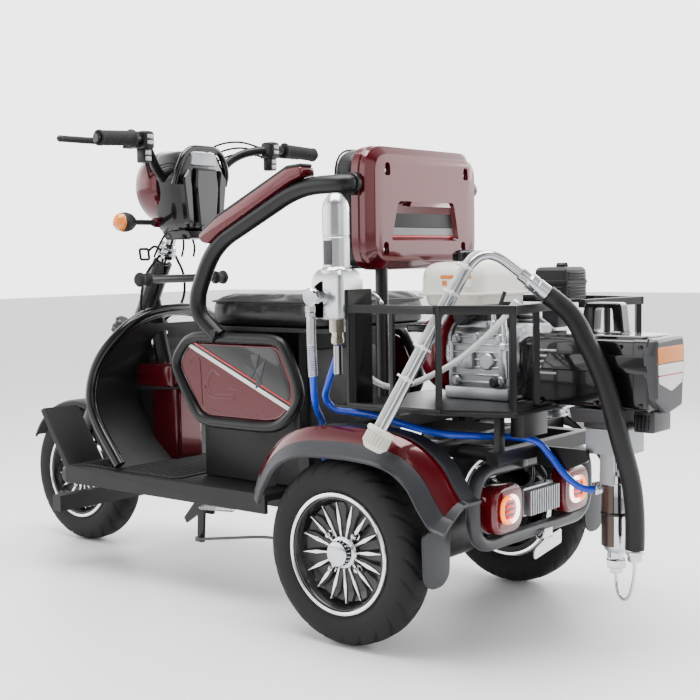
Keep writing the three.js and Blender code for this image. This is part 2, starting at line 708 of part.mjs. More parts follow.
// ---------------------------------------------------------------- deck and cage
function deckPlate() {
  const plan = [[DECK_FRONT, -DECK_HALF], [DECK_FRONT, DECK_HALF], [-217, DECK_HALF],
    [DECK_REAR, DECK_HALF - 52],
    [DECK_REAR + 8, CASE_LEFT + 3], [CASE_FRONT + 4, CASE_LEFT + 3], [CASE_FRONT + 4, CASE_RIGHT - 3],
    [DECK_REAR + 8, CASE_RIGHT - 3], [DECK_REAR, 52 - DECK_HALF], [-217, -DECK_HALF]];
  return joined(
    slab(plan, 'xy', DECK_TOP - 6, DECK_TOP),
    box(-320, BEAM_REAR - 6, CASE_LEFT + 6, 172, 418, DECK_TOP - 5),
  );
}
add('deck_plate', deckPlate(), BLACK_PAINT);

function cage(side) {
  const edge = DECK_HALF - CAGE_BAR / 2;
  const end = (side > 0 ? CASE_LEFT : -CASE_RIGHT) + CAGE_BAR / 2 + 2;
  const plan = [[-12, edge], [-217, edge], [DECK_REAR + 8, DECK_HALF - 60], [DECK_REAR + 24, 140],
    [DECK_REAR + 30, end]];
  const corner = (i, z) => vec(plan[i][0], plan[i][1], z);
  const top = CAGE_TOP - CAGE_BAR / 2;
  const parts = [];
  for (let i = 0; i < plan.length - 1; i += 1) {
    parts.push(beam(corner(i, top), corner(i + 1, top), CAGE_BAR, CAGE_BAR));
    parts.push(beam(corner(i, DECK_TOP + GAP + 2.5), corner(i + 1, DECK_TOP + GAP + 2.5), CAGE_BAR, 5));
    parts.push(rod(corner(i, DECK_TOP + 2), corner(i, top), CAGE_BAR / 2, 4));
  }
  parts.push(box(-114, -106, edge - 4, edge + 4, DECK_TOP + 2, top));
  if (side > 0) parts.push(box(-10, -4, DECK_HALF - 73, DECK_HALF, DECK_TOP + GAP, 700));
  return sided(joined(...parts), side);
}
add('cage_left', cage(1), BLACK_PAINT);
add('cage_right', cage(-1), BLACK_PAINT);

// ---------------------------------------------------------------- engine
const RECOIL_FACE = -82;

function engineBlock() {
  const cylinder = new THREE.BoxGeometry(104, 96, 104);
  cylinder.rotateX(THREE.MathUtils.degToRad(25));
  cylinder.translate(-160, -85, 578);
  return joined(
    box(-240, -88, -85, 98, DECK_TOP + GAP, 500),
    box(-236, -92, -80, 92, 495, 622),
    cylinder,
    rod(vec(-246, CRANK_Y, CRANK_Z), vec(-230, CRANK_Y, CRANK_Z), 58, 16),
    rod(vec(-100, CRANK_Y, CRANK_Z), vec(RECOIL_FACE, CRANK_Y, CRANK_Z), 84, 20),
    box(-175, RECOIL_FACE - GAP, -55, 78, 615, TANK_LOW - GAP),
  );
}
add('engine_block', engineBlock(), CAST);

const RECOIL = [[0, 0], [88, 0], [90, 30], [84, 56], [60, 74], [52, 84], [0, 84]];
const SPOUT = vec(-48, CRANK_Y + 92, CRANK_Z + 50); // mouth where the starter cord comes out

function recoilCover() {
  const cover = turned(RECOIL, vec(RECOIL_FACE + GAP, CRANK_Y, CRANK_Z), vec(1, 0, 0), 24);
  return joined(cover, rod(SPOUT.clone().setY(CRANK_Y + 50), SPOUT, 14, 10));
}
add('recoil_cover', recoilCover(), [0x9a0f1c, 0.3]);

function recoilHandle() {
  const bar = SPOUT.clone().add(vec(0, 19, 0));
  return joined(
    rod(SPOUT.clone().add(vec(0, GAP, 0)), bar, 8, 10),
    rod(bar.clone().add(vec(-30, 0, 0)), bar.clone().add(vec(30, 0, 0)), 9, 10),
  );
}
add('recoil_handle', recoilHandle(), GLOSS_BLACK);

const CAP_X = -85;
function fuelTank() {
  const plan = [[-183, -95], [-32, -95], [-32, 120], [-183, 120]];
  const flange = [[-192, -102], [-24, -102], [-24, 128], [-192, 128]];
  return joined(
    slab(inset(plan, 8), 'xy', TANK_LOW, TANK_LOW + 26, 40),
    slab(flange, 'xy', TANK_LOW + 22, TANK_LOW + 28, 45),
    slab(plan, 'xy', TANK_LOW + 26, TANK_HIGH - 20, 45),
    slab(inset(plan, 10), 'xy', TANK_HIGH - 22, TANK_HIGH, 40),
    rod(vec(CAP_X, CRANK_Y, TANK_HIGH - 4), vec(CAP_X, CRANK_Y, TANK_HIGH + 9), 20),
  );
}
add('fuel_tank', fuelTank(), [0xe8e6df, 0.35]);

const CAP = [[0, 24], [24, 24], [28, 19], [28, 1], [21, 1], [21, 10], [0, 10]];
add('fuel_cap', turned(CAP, vec(CAP_X, CRANK_Y, TANK_HIGH), vec(0, 0, 1)), GLOSS_BLACK);

function airCleaner() {
  return joined(
    slab([[-225, -250], [-145, -250], [-145, -155], [-225, -155]], 'xy', 665, 735, 10),
    rod(vec(-190, -200, 733), vec(-190, -200, 744), 13),
    box(-206, -166, -196, -153, 606, 668),
  );
}
add('air_cleaner', airCleaner(), BLACK_PLASTIC);

function muffler() {
  return joined(
    slab([[-190, 585], [-103, 585], [-103, 682], [-190, 682]], 'yz', -102, -14, 24),
    rod(vec(-108 + GAP, -128, 600), vec(-96, -128, 600), 17),
  );
}
add('muffler', muffler(), CAST);

// ---------------------------------------------------------------- drive case and pump
function driveCase() {
  const mid = (CASE_LEFT + CASE_RIGHT) / 2;
  const body = [[CASE_RIGHT, CASE_LOW], [CASE_LEFT, CASE_LOW], [CASE_LEFT, CASE_HIGH],
    [CASE_RIGHT, CASE_HIGH]];
  const sump = [[CASE_RIGHT + 6, 440], [CASE_LEFT - 14, 440], [CASE_LEFT - 4, CASE_LOW + 4],
    [CASE_RIGHT + 4, CASE_LOW + 4]];
  const cap = [[CASE_RIGHT + 8, CASE_LOW + 6], [mid, CASE_LOW - 4], [CASE_LEFT - 4, CASE_LOW + 26],
    [CASE_LEFT + 4, CASE_HIGH - 30], [CASE_LEFT - 6, CASE_HIGH - 4], [CASE_RIGHT + 6, CASE_HIGH],
    [CASE_RIGHT - 2, CASE_HIGH - 30]];
  const handle = [[-452, CASE_HIGH - 2], [-444, 670], [-367, 670], [-356, CASE_HIGH - 2]];
  const window = [[-428, CASE_HIGH + 2], [-426, 660], [-392, 660], [-388, CASE_HIGH + 2]];
  const grip = carved(slab(handle, 'xz', -4, 24, 8), slab(window, 'xz', -10, 30, 4));
  return joined(
    slab(body, 'yz', CASE_REAR, CASE_FRONT, 14),
    slab(cap, 'yz', CASE_REAR - 16, CASE_REAR + 2, 4),
    slab(sump, 'yz', -470, -360),
    box(CASE_REAR + 1, -484, -22, 50, 428, CASE_LOW + 2),
    box(-474, -380, -30, 52, 429, 444),
    grip,
  );
}
add('drive_case', driveCase(), GLOSS_BLACK);

const BRACKET_LOW = 380;
const FLANGE_RADIUS = PUMP_RADIUS + 6.7;

function pumpBracket() {
  const top = 429 - GAP;
  const at = (z) => vec(PUMP_X, PUMP_Y, z);
  const bore = rod(at(BRACKET_LOW - 10), at(top + 10), ROD_RADIUS + 1.5, 16);
  const head = box(PUMP_X - 38, PUMP_X + 44, PUMP_Y - 41, PUMP_Y + 41, BRACKET_LOW, top);
  const legs = [1, -1].map((side) => {
    const [near, far] = [side * (FLANGE_RADIUS + GAP), side * (FLANGE_RADIUS + GAP + 8)];
    return box(PUMP_X - 14, PUMP_X + 14, PUMP_Y + Math.min(near, far), PUMP_Y + Math.max(near, far),
      PUMP_TOP - 18, BRACKET_LOW + 4);
  });
  return carved(joined(head, ...legs), bore);
}
add('pump_bracket', pumpBracket(), [0x8b8d90, 0.4, 0.4]);

const OUTLET = vec(Math.cos(0.69), Math.sin(0.69), 0); // way out of the pump, to the left and forwards
const OUTLET_Z = 309;
const HOSE_END = vec(-485, 45, 205);

function pumpCylinder() {
  const at = (z) => vec(PUMP_X, PUMP_Y, z);
  const barrel = [[0, 160], [17, 160], [17, 185], [PUMP_RADIUS, 196], [PUMP_RADIUS, PUMP_TOP - 18],
    [FLANGE_RADIUS, PUMP_TOP - 18], [FLANGE_RADIUS, PUMP_TOP], [ROD_RADIUS + 1.5, PUMP_TOP],
    [ROD_RADIUS + 1.5, 230], [0, 230]];
  return joined(
    turned(barrel, at(0), vec(0, 0, 1), 20),
    rod(at(OUTLET_Z).addScaledVector(OUTLET, 18), at(OUTLET_Z).addScaledVector(OUTLET, 42), 9, 8),
    rod(at(158), at(172), 21, 6),
    tube([at(165), vec(-430, 12, 128), vec(-452, 24, 112), vec(-474, 38, 128), HOSE_END.clone().setZ(190)],
      4, 6, 10, 14),
    rod(HOSE_END.clone().setZ(186), HOSE_END.clone().setZ(HOSE_END.z - 4), 11, 8),
  );
}
add('pump_cylinder', pumpCylinder(), CHROME);
add('piston_rod', rod(vec(PUMP_X, PUMP_Y, 290), vec(PUMP_X, PUMP_Y, 425), ROD_RADIUS, 12), CHROME);

// ---------------------------------------------------------------- filter manifold
const FILTER_X = 40;
const FILTER_Y = DECK_HALF - 26;

function filterManifold() {
  const at = (z, dx = 0, dy = 0) => vec(FILTER_X + dx, FILTER_Y + dy, z);
  return joined(
    turned([[0, 888], [19, 888], [24, 876], [27, 868], [27, 730], [0, 730]], at(0), vec(0, 0, 1), 20),
    box(-4 + GAP, 80, FILTER_Y - 39, FILTER_Y + 43, 642, 741),
    rod(at(686, 14, 40), at(686, 14, 62), 13),
    rod(at(686, 22, 54), at(656, 22, 54), 8, 8),
    rod(at(645), at(600), 15, 6),
    rod(at(602), at(590), 9, 8),
    rod(at(645, -25, -20), at(626, -25, -20), 7, 8),
    rod(at(686, -18, -36), at(686, -18, -60), 10),
  );
}
add('filter_manifold', filterManifold(), CHROME);

function primeLever() {
  const pivot = vec(FILTER_X - 18, FILTER_Y - 60, 686);
  return joined(
    rod(pivot.clone().add(vec(0, -8 - GAP, 0)), pivot.clone().add(vec(0, -GAP, 0)), 9, 10),
    box(pivot.x - 42, pivot.x, pivot.y - 7.6, pivot.y - 2.4, pivot.z - 5, pivot.z + 5),
  );
}
add('prime_valve_lever', primeLever(), CHROME);

// ---------------------------------------------------------------- suction tube with strainer
const STRAINER = vec(-118, FENDER_OUT + 24, 405);
const SUCTION_BEND = vec(-262, DECK_HALF - 86, 785);
const FERRULE_END = vec(-352, 138, 688);
const FERRULE_FALL = FERRULE_END.clone().sub(SUCTION_BEND).normalize();

function suctionTube() {
  const lean = SUCTION_BEND.clone().sub(STRAINER).normalize();
  const on = (along) => STRAINER.clone().addScaledVector(lean, along);
  const cup = [[0, 0], [16, 0], [23, 8], [23, 34], [28, 34], [28, 42], [0, 42]];
  const beside = vec(0.62, 0.5, 0).normalize().multiplyScalar(14);
  return joined(
    turned(cup, STRAINER, lean, 16),
    tube([on(36), SUCTION_BEND, FERRULE_END], 9, 8, 16, 62),
    rod(on(38).add(beside), on(380).add(beside), 6.5, 8),
    rod(FERRULE_END.clone().addScaledVector(FERRULE_FALL, -42), FERRULE_END, 16),
  );
}
add('suction_tube', suctionTube(), CHROME);

// ---------------------------------------------------------------- spray gun on its bracket
function sprayGun() {
  return joined(
    box(332, 370, -312, -274, 118, 188),
    rod(vec(351, -293, 78), vec(351, -293, 120), 9, 10),
    rod(vec(351, -293, 186), vec(351, -293, 204), 9, 8),
    box(340, 360, -276, -160, 160, 180),
    box(340, 360, -165, -140, 160, FLOOR_TOP - FLOOR_THICK - RAIL + 2 - 2 * GAP),
  );
}
add('spray_gun', sprayGun(), CHROME);

// ---------------------------------------------------------------- steering assembly
function fork() {
  const low = AXLE_DROP;
  const knee = CROWN_LOW - (CROWN_LOW - low) * 0.42;
  const crown = new THREE.BoxGeometry(34, 2 * FORK_HALF_SPAN + 36, CROWN_TOP - CROWN_LOW);
  crown.rotateY(-RAKE);
  const middle = onSteer((CROWN_TOP + CROWN_LOW) / 2);
  crown.translate(middle.x, 0, middle.z);
  const parts = [
    crown,
    rod(onSteer(CROWN_TOP - 5), onSteer(60), STEERER_RADIUS, 10),
    rod(onSteer(-18), onSteer(4), 22, 10),
    rod(onSteer(-HEAD_LENGTH - 2), onSteer(CROWN_TOP - 2), 23, 10),
    rod(FRONT_AXLE.clone().setY(-FORK_HALF_SPAN), FRONT_AXLE.clone().setY(FORK_HALF_SPAN), AXLE_RADIUS, 10),
  ];
  [1, -1].forEach((side) => {
    const y = side * FORK_HALF_SPAN;
    parts.push(rod(onSteer(CROWN_TOP + 12, y), onSteer(knee - 10, y), 15, 12));
    parts.push(rod(onSteer(knee, y), onSteer(low, y, axleTrail * 0.5), 19, 12));
    parts.push(rod(FRONT_AXLE.clone().setY(y - 12), FRONT_AXLE.clone().setY(y + 12), 24, 12));
  });
  return joined(...parts);
}

function frontFender() {
  const radius = TYRE_RADIUS + 16;
  const band = [];
  const bandIn = [];
  for (let i = 0; i <= 12; i += 1) {
    const angle = THREE.MathUtils.degToRad(28 + (i / 12) * 132);
    const at = (r) => [FRONT_AXLE.x + r * Math.cos(angle), FRONT_AXLE.z + r * Math.sin(angle)];
    band.push(at(radius));
    bandIn.unshift(at(radius - 6));
  }
  const legs = [1, -1].flatMap((side) => {
    const y = side * FORK_HALF_SPAN;
    return [
      rod(onSteer(0, y), onSteer(AXLE_DROP, y), 15.6, 12),
      rod(onSteer(-360, y), onSteer(AXLE_DROP, y, axleTrail * 0.5), 20, 12),
    ];
  });
  const half = FORK_HALF_SPAN - 16;
  return carved(slab([...band, ...bandIn], 'xz', -half, half), ...legs);
}

const BAR_END = vec(NOSE - 192, 368, 1035);
const BAR_GRIP = vec(NOSE - 180, 246, 1042);
const GRIP_LINE = BAR_END.clone().sub(BAR_GRIP).normalize();
const BAR_KNEE = BAR_GRIP.clone().addScaledVector(GRIP_LINE, -34);
const BAR_LEFT = [BAR_END, BAR_KNEE, vec(NOSE - 113, 150, 1030), vec(NOSE - 86, 92, 968),
  vec(NOSE - 92, 40, 943)];
const BAR_LINE = [...BAR_LEFT, ...BAR_LEFT.map((p) => vec(p.x, -p.y, p.z)).reverse()];
const PERCH = vec(NOSE - 142, 236, 1030); // pivot of the brake levers

function handlebar() {
  const parts = [tube(BAR_LINE, BAR_RADIUS, 8, 44, 42), rod(onSteer(60 + GAP), onSteer(196), 15, 12)];
  [1, -1].forEach((side) => {
    const span = (inner, outer) => [inner, outer].map((y) => y * side).sort((p, q) => p - q);
    const pin = (z) => vec(PERCH.x, side * PERCH.y, z);
    parts.push(
      box(NOSE - 192, NOSE - 154, ...span(196, 232), 1018, 1060),
      box(PERCH.x - 16, PERCH.x + 10, ...span(PERCH.y - 18, PERCH.y + 10), 1022, PERCH.z - 2),
      rod(pin(PERCH.z - 4), pin(PERCH.z + 19), 4, 10),
    );
  });
  return joined(...parts);
}

function grip(side) {
  const profile = [[BAR_RADIUS + 0.9, 10], [19, 10], [19, 16], [17, 20], [17, 118], [BAR_RADIUS + 0.9, 118]];
  return sided(turned(profile, BAR_GRIP, GRIP_LINE, 16), side);
}

function brakeLever(side) {
  const blade = [[-9, -8], [10, -8], [38, 26], [46, 94], [46, 166], [36, 166], [32, 96], [22, 36], [0, 10],
    [-9, 10]].map(([x, y]) => [PERCH.x + x, PERCH.y + y]);
  const pin = rod(PERCH.clone().setZ(PERCH.z - 10), PERCH.clone().setZ(PERCH.z + 25), 4.8, 12);
  return sided(carved(slab(blade, 'xy', PERCH.z, PERCH.z + 15), pin), side);
}

const LAMP_X = NOSE - 48; // back of the headlamp shell
const SIGNAL_Z = 855;
const KEY = vec(NOSE - 90, -92, 928); // mouth of the ignition lock, which faces right

function headlampHousing() {
  const dash = [
    [[LAMP_X - 100, 66, 832], [LAMP_X - 100, 84, 985], [LAMP_X - 88, 60, 1030]],
    [[LAMP_X, 58, 810], [LAMP_X, 86, 960], [LAMP_X, 62, 1036]],
  ].map((half) => [
    ...half.map((p) => vec(...p)),
    ...half.map(([x, y, z]) => vec(x, -y, z)).reverse(),
  ]);
  const lamp = turned([[0, -20], [84, -20], [91, 20], [88, 58], [70, 72], [0, 80]], vec(LAMP_X, 0, 945),
    vec(1, 0, 0), 16);
  const collar = [1, -1].map((side) => rod(vec(LAMP_X, side * 50, SIGNAL_Z), vec(LAMP_X, side * 80, SIGNAL_Z),
    12, 10));
  const barrel = rod(KEY.clone().setY(-60), KEY, 11, 10);
  const room = tube(BAR_LINE, BAR_RADIUS + 4, 8, 30, 42);
  const stem = rod(onSteer(-10), onSteer(212), STEERER_RADIUS + 5, 12);
  const headRoom = rod(onSteer(-40), onSteer(50), HEAD_RADIUS + 1, 12);
  return carved(joined(loft(dash), lamp, ...collar, barrel), room, stem, headRoom);
}

function turnSignal(side) {
  const pod = [[0, 0], [8, 0], [8, 62], [14, 66], [21, 78], [24, 92], [22, 106], [15, 118], [0, 124]];
  return sided(turned(pod, vec(LAMP_X, 80 + GAP, SIGNAL_Z), vec(0, 1, 0), 14), side);
}

function ignitionKey() {
  const [from, to] = [KEY.x - 1.5, KEY.x + 1.5];
  const bow = [[-34, -10], [-11, -10], [-11, 10], [-34, 10]].map(([y, z]) => [KEY.y + y, KEY.z + z]);
  return joined(
    box(from, to, KEY.y - 12, KEY.y - GAP, KEY.z - 6, KEY.z + 6),
    slab(bow, 'yz', from, to, 5),
  );
}

add('fork', fork(), CHROME);
add('front_fender', frontFender(), BLACK_PLASTIC);
add('handlebar', handlebar(), BLACK_PAINT);
add('grip_left', grip(1), RUBBER);
add('throttle_grip', grip(-1), RUBBER);
add('brake_lever_left', brakeLever(1), BLACK_PLASTIC);
add('brake_lever_right', brakeLever(-1), BLACK_PLASTIC);
add('headlamp_housing', headlampHousing(), GLOSS_BLACK);
add('turn_signal_left', turnSignal(1), GREY_PLASTIC);
add('turn_signal_right', turnSignal(-1), GREY_PLASTIC);
add('ignition_key', ignitionKey(), CHROME);

// ---------------------------------------------------------------- hoses
const OUTLET_END = vec(PUMP_X, PUMP_Y, OUTLET_Z).addScaledVector(OUTLET, 42 + GAP);
const SUCTION_ROUTE = [
  FERRULE_END.clone().addScaledVector(FERRULE_FALL, 2 * GAP),
  FERRULE_END.clone().addScaledVector(FERRULE_FALL, 22),
  vec(-393, 116, 646), vec(-420, 114, 600), vec(-446, 108, 545), vec(-464, 103, 490), vec(-475, 97, 440),
  vec(-483, 84, 390), vec(-488, 66, 335), vec(-488, 52, 275), vec(-486, 46, 228), HOSE_END,
];
const FEED_ROUTE = [
  OUTLET_END,
  OUTLET_END.clone().addScaledVector(OUTLET, 14),
  vec(-368, 58, 318), vec(-346, 68, 340), vec(-322, 76, 372), vec(-298, 88, 400), vec(-262, 106, 407),
  vec(-205, 158, 412), vec(-150, 212, 420), vec(-90, 236, 434), vec(-20, 241, 448), vec(44, 243, 452),
  vec(80, 250, 458), vec(90, 262, 478), vec(76, 272, 506), vec(54, 279, 545), vec(40, 282, 576),
  vec(FILTER_X, FILTER_Y, 590 - GAP),
];
const GUN_ROUTE = [
  vec(FILTER_X + 22, FILTER_Y + 54, 656 - GAP),
  vec(62, 336, 620), vec(63, 334, 570), vec(68, 326, 522), vec(84, 304, 480), vec(104, 272, 452),
  vec(120, 240, 424), vec(134, 220, 380), vec(150, 196, 332), vec(166, 140, 302), vec(170, 60, 290),
  vec(170, -60, 288), vec(174, -140, 288), vec(194, -206, 284), vec(232, -246, 274), vec(286, -280, 268),
  vec(328, -292, 258), vec(350, -293, 232), vec(351, -293, 214), vec(351, -293, 204 + GAP),
];
const DRAIN_ROUTE = [
  vec(FILTER_X - 25, FILTER_Y - 20, 626 - 2 * GAP),
  vec(15, 262, 608), vec(13, 252, 566), vec(5, 230, 526), vec(-14, 220, 510), vec(-46, 216, 504),
  vec(-84, 211, 511), vec(-130, 203, 530), vec(-180, 190, 558), vec(-230, 178, 598), vec(-272, 168, 640),
  vec(-300, 163, 676),
];
add('suction_hose', hose(SUCTION_ROUTE, 18.5, 14, 12), RUBBER, cords);
add('feed_hose', hose(FEED_ROUTE, 7, 34), [0x1252c8, 0.35], cords);
add('gun_hose', hose(GUN_ROUTE, 7, 42), [0x1252c8, 0.35], cords);
add('drain_tube', hose(DRAIN_ROUTE, 6, 24), [0xd8dad6, 0.2], cords);

// ---------------------------------------------------------------- origin on the ground
cords.removeFromParent();
const bounds = new THREE.Box3().setFromObject(machine);
machine.add(cords);
const middle = bounds.getCenter(vec(0, 0, 0));
machine.position.set(-middle.x, -middle.y, -bounds.min.z);

export default machine;
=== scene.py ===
import json
import math

import bpy
import numpy as np
from mathutils import Matrix, Quaternion, Vector


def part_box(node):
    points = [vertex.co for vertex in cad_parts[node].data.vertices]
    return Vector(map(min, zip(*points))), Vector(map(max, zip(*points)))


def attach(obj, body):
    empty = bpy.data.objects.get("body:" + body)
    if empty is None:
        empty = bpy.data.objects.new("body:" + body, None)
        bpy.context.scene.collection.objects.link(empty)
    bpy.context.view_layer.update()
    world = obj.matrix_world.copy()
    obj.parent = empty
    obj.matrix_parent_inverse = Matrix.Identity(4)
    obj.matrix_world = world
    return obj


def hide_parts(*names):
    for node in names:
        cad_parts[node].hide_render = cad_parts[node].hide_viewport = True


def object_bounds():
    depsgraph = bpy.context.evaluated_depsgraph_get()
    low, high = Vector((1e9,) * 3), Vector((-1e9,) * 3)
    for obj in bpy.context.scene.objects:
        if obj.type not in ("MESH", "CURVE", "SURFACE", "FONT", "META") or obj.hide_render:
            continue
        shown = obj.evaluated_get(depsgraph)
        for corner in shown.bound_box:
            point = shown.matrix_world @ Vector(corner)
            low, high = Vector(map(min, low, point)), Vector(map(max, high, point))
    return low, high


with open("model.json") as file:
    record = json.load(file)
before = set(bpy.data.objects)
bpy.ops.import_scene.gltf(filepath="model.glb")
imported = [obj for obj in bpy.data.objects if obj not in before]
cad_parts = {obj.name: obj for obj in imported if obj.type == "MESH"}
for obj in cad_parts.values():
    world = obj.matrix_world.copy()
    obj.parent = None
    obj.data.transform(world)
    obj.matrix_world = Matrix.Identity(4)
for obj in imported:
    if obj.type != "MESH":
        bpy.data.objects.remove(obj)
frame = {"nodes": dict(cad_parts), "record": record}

cad_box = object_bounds()

# ------------------------------------------------------------------ studio
# A seamless pale sweep with broad soft lights: one overhead, one low on the seat side, one behind the
# left shoulder and a strip along the far side that draws the edge of the dark paint.
middle = (cad_box[0] + cad_box[1]) / 2
bpy.ops.object.camera_add(location=middle + Vector((-1.9634, 2.1796, 0.2332)))
camera = bpy.context.object
looking = Vector((0.6338, -0.7699, -0.0743))
ROLL = math.radians(-0.84)
LENS_MM, SENSOR_MM = 64.37, 36
camera.rotation_euler = (looking.to_track_quat("-Z", "Y") @ Quaternion((0, 0, 1), ROLL)).to_euler()
camera.data.lens = LENS_MM
camera.data.sensor_width = SENSOR_MM
bpy.context.scene.camera = camera


def soft_light(name, place, width, height, watts):
    bpy.ops.object.light_add(type="AREA", location=place)
    light = bpy.context.object
    light.name = name
    light.data.shape = "RECTANGLE"
    light.data.size = width
    light.data.size_y = height
    light.data.energy = watts
    light.rotation_euler = (middle - Vector(place)).to_track_quat("-Z", "Y").to_euler()


soft_light("overhead", (-0.2, 0.3, 3.2), 2.8, 2.2, 210)
soft_light("seat_side", (0.6, 3.2, 1.5), 1.6, 2.2, 16)
soft_light("left_shoulder", (-3.4, 1.0, 1.8), 1.8, 2.2, 14)
soft_light("far_side", (-0.6, -3.0, 1.7), 2.6, 0.9, 40)

world = bpy.data.worlds.new("studio_air")
bpy.context.scene.world = world
world.use_nodes = True
nodes, links = world.node_tree.nodes, world.node_tree.links
air = nodes["Background"]
air.inputs["Color"].default_value = (1, 1, 1, 1)
direction = nodes.new("ShaderNodeTexCoord")
height = nodes.new("ShaderNodeSeparateXYZ")
facing = nodes.new("ShaderNodeVectorMath")
facing.operation = "DOT_PRODUCT"
facing.inputs[1].default_value = (-0.62, 0.77, 0.1)
ceiling = nodes.new("ShaderNodeMapRange")
shade = nodes.new("ShaderNodeMapRange")
for ramp, start, stop, bright, dim in ((ceiling, 0.3, 0.7, 3.8, 0.9), (shade, 0.1, 0.6, 1.0, 0.12)):
    ramp.inputs["From Min"].default_value = start
    ramp.inputs["From Max"].default_value = stop
    ramp.inputs["To Min"].default_value = bright
    ramp.inputs["To Max"].default_value = dim
strength = nodes.new("ShaderNodeMath")
strength.operation = "MULTIPLY"
for source, target in ((direction.outputs["Generated"], height.inputs["Vector"]),
                       (direction.outputs["Generated"], facing.inputs[0]),
                       (height.outputs["Z"], ceiling.inputs["Value"]),
                       (facing.outputs["Value"], shade.inputs["Value"]),
                       (ceiling.outputs["Result"], strength.inputs[0]),
                       (shade.outputs["Result"], strength.inputs[1]),
                       (strength.outputs["Value"], air.inputs["Strength"])):
    links.new(source, target)

bpy.ops.mesh.primitive_plane_add(size=40, location=(0, 0, cad_box[0].z))
sweep = bpy.context.object
sweep.name = "studio_floor"
floor_look = bpy.data.materials.new("studio_floor")
floor_look.use_nodes = True
floor_shader = floor_look.node_tree.nodes["Principled BSDF"]
floor_shader.inputs["Base Color"].default_value = (0.97, 0.97, 0.975, 1)
floor_shader.inputs["Roughness"].default_value = 0.45
sweep.data.materials.append(floor_look)

# ------------------------------------------------------------------ hoses
# A black suction hose with a thick smooth cover, two blue nylon-jacketed pressure hoses and a clear
# vinyl drain tube. Each is one cut length pushed on its fittings.
axle_low, axle_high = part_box("rear_axle")
AXLE = Vector(((axle_low.x + axle_high.x) / 2, 0, cad_box[0].z))


def spot(x, y, z):
    """A place given in millimetres forward, left and up from the ground under the rear axle."""
    return AXLE + Vector((x, y, z)) / 1000


def only(piece):
    bpy.ops.object.select_all(action="DESELECT")
    piece.select_set(True)
    bpy.context.view_layer.objects.active = piece
    return piece


def coating(name, colour, rough, metal=0.0, grain=900, relief=0.02, drift=0.08, clear=0.0, patch=9):
    """A surface whose colour and gloss drift a little over its length and whose fine grain is in relief."""
    look = bpy.data.materials.new(name)
    look.use_nodes = True
    nodes, links = look.node_tree.nodes, look.node_tree.links
    shader = nodes["Principled BSDF"]
    shader.inputs["Metallic"].default_value = metal
    shader.inputs["Coat Weight"].default_value = clear * 0.6
    shader.inputs["Coat Roughness"].default_value = 0.04
    shader.inputs["Specular IOR Level"].default_value = 0.5 if metal or max(colour) > 0.1 else 0.3
    place = nodes.new("ShaderNodeTexCoord")
    broad = nodes.new("ShaderNodeTexNoise")
    broad.inputs["Scale"].default_value = patch
    broad.inputs["Detail"].default_value = 5
    tint = nodes.new("ShaderNodeValToRGB")
    tint.color_ramp.elements[0].position = 0.3
    tint.color_ramp.elements[1].position = 0.7
    tint.color_ramp.elements[0].color = (*[c * (1 - drift) for c in colour], 1)
    tint.color_ramp.elements[1].color = (*[min(1, c * (1 + drift)) for c in colour], 1)
    gloss = nodes.new("ShaderNodeMapRange")
    gloss.inputs["To Min"].default_value = max(0.02, rough * 0.82)
    gloss.inputs["To Max"].default_value = min(1, rough * 1.2)
    fine = nodes.new("ShaderNodeTexNoise")
    fine.inputs["Scale"].default_value = grain
    fine.inputs["Detail"].default_value = 2
    bump = nodes.new("ShaderNodeBump")
    bump.inputs["Strength"].default_value = relief
    bump.inputs["Distance"].default_value = 0.001
    for texture in (broad, fine):
        links.new(place.outputs["Object"], texture.inputs["Vector"])
    links.new(broad.outputs["Fac"], tint.inputs["Fac"])
    links.new(broad.outputs["Fac"], gloss.inputs["Value"])
    links.new(tint.outputs["Color"], shader.inputs["Base Color"])
    links.new(gloss.outputs["Result"], shader.inputs["Roughness"])
    links.new(fine.outputs["Fac"], bump.inputs["Height"])
    links.new(bump.outputs["Normal"], shader.inputs["Normal"])
    return look


def hose(name, route, diameter, finish):
    curve = bpy.data.curves.new(name, "CURVE")
    curve.dimensions = "3D"
    curve.resolution_u = 10
    curve.bevel_depth = diameter / 2
    curve.bevel_resolution = 6
    curve.use_fill_caps = True
    spline = curve.splines.new("BEZIER")
    spline.bezier_points.add(len(route) - 1)
    for bend, place in zip(spline.bezier_points, route):
        bend.co = place
        bend.handle_left_type = bend.handle_right_type = "AUTO"
    piece = bpy.data.objects.new(name + "_run", curve)
    bpy.context.scene.collection.objects.link(piece)
    curve.materials.append(finish)
    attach(piece, "chassis")
    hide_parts(name)
    return piece


hose_cover = coating("hose_cover", (0.008, 0.008, 0.009), 0.42, grain=500, relief=0.06)
blue_jacket = coating("blue_jacket", (0.003, 0.05, 0.55), 0.28, relief=0.02, clear=0.3)
clear_vinyl = coating("clear_vinyl", (0.86, 0.88, 0.87), 0.16, relief=0.01, clear=0.4)
clear_vinyl.node_tree.nodes["Principled BSDF"].inputs["Transmission Weight"].default_value = 0.45

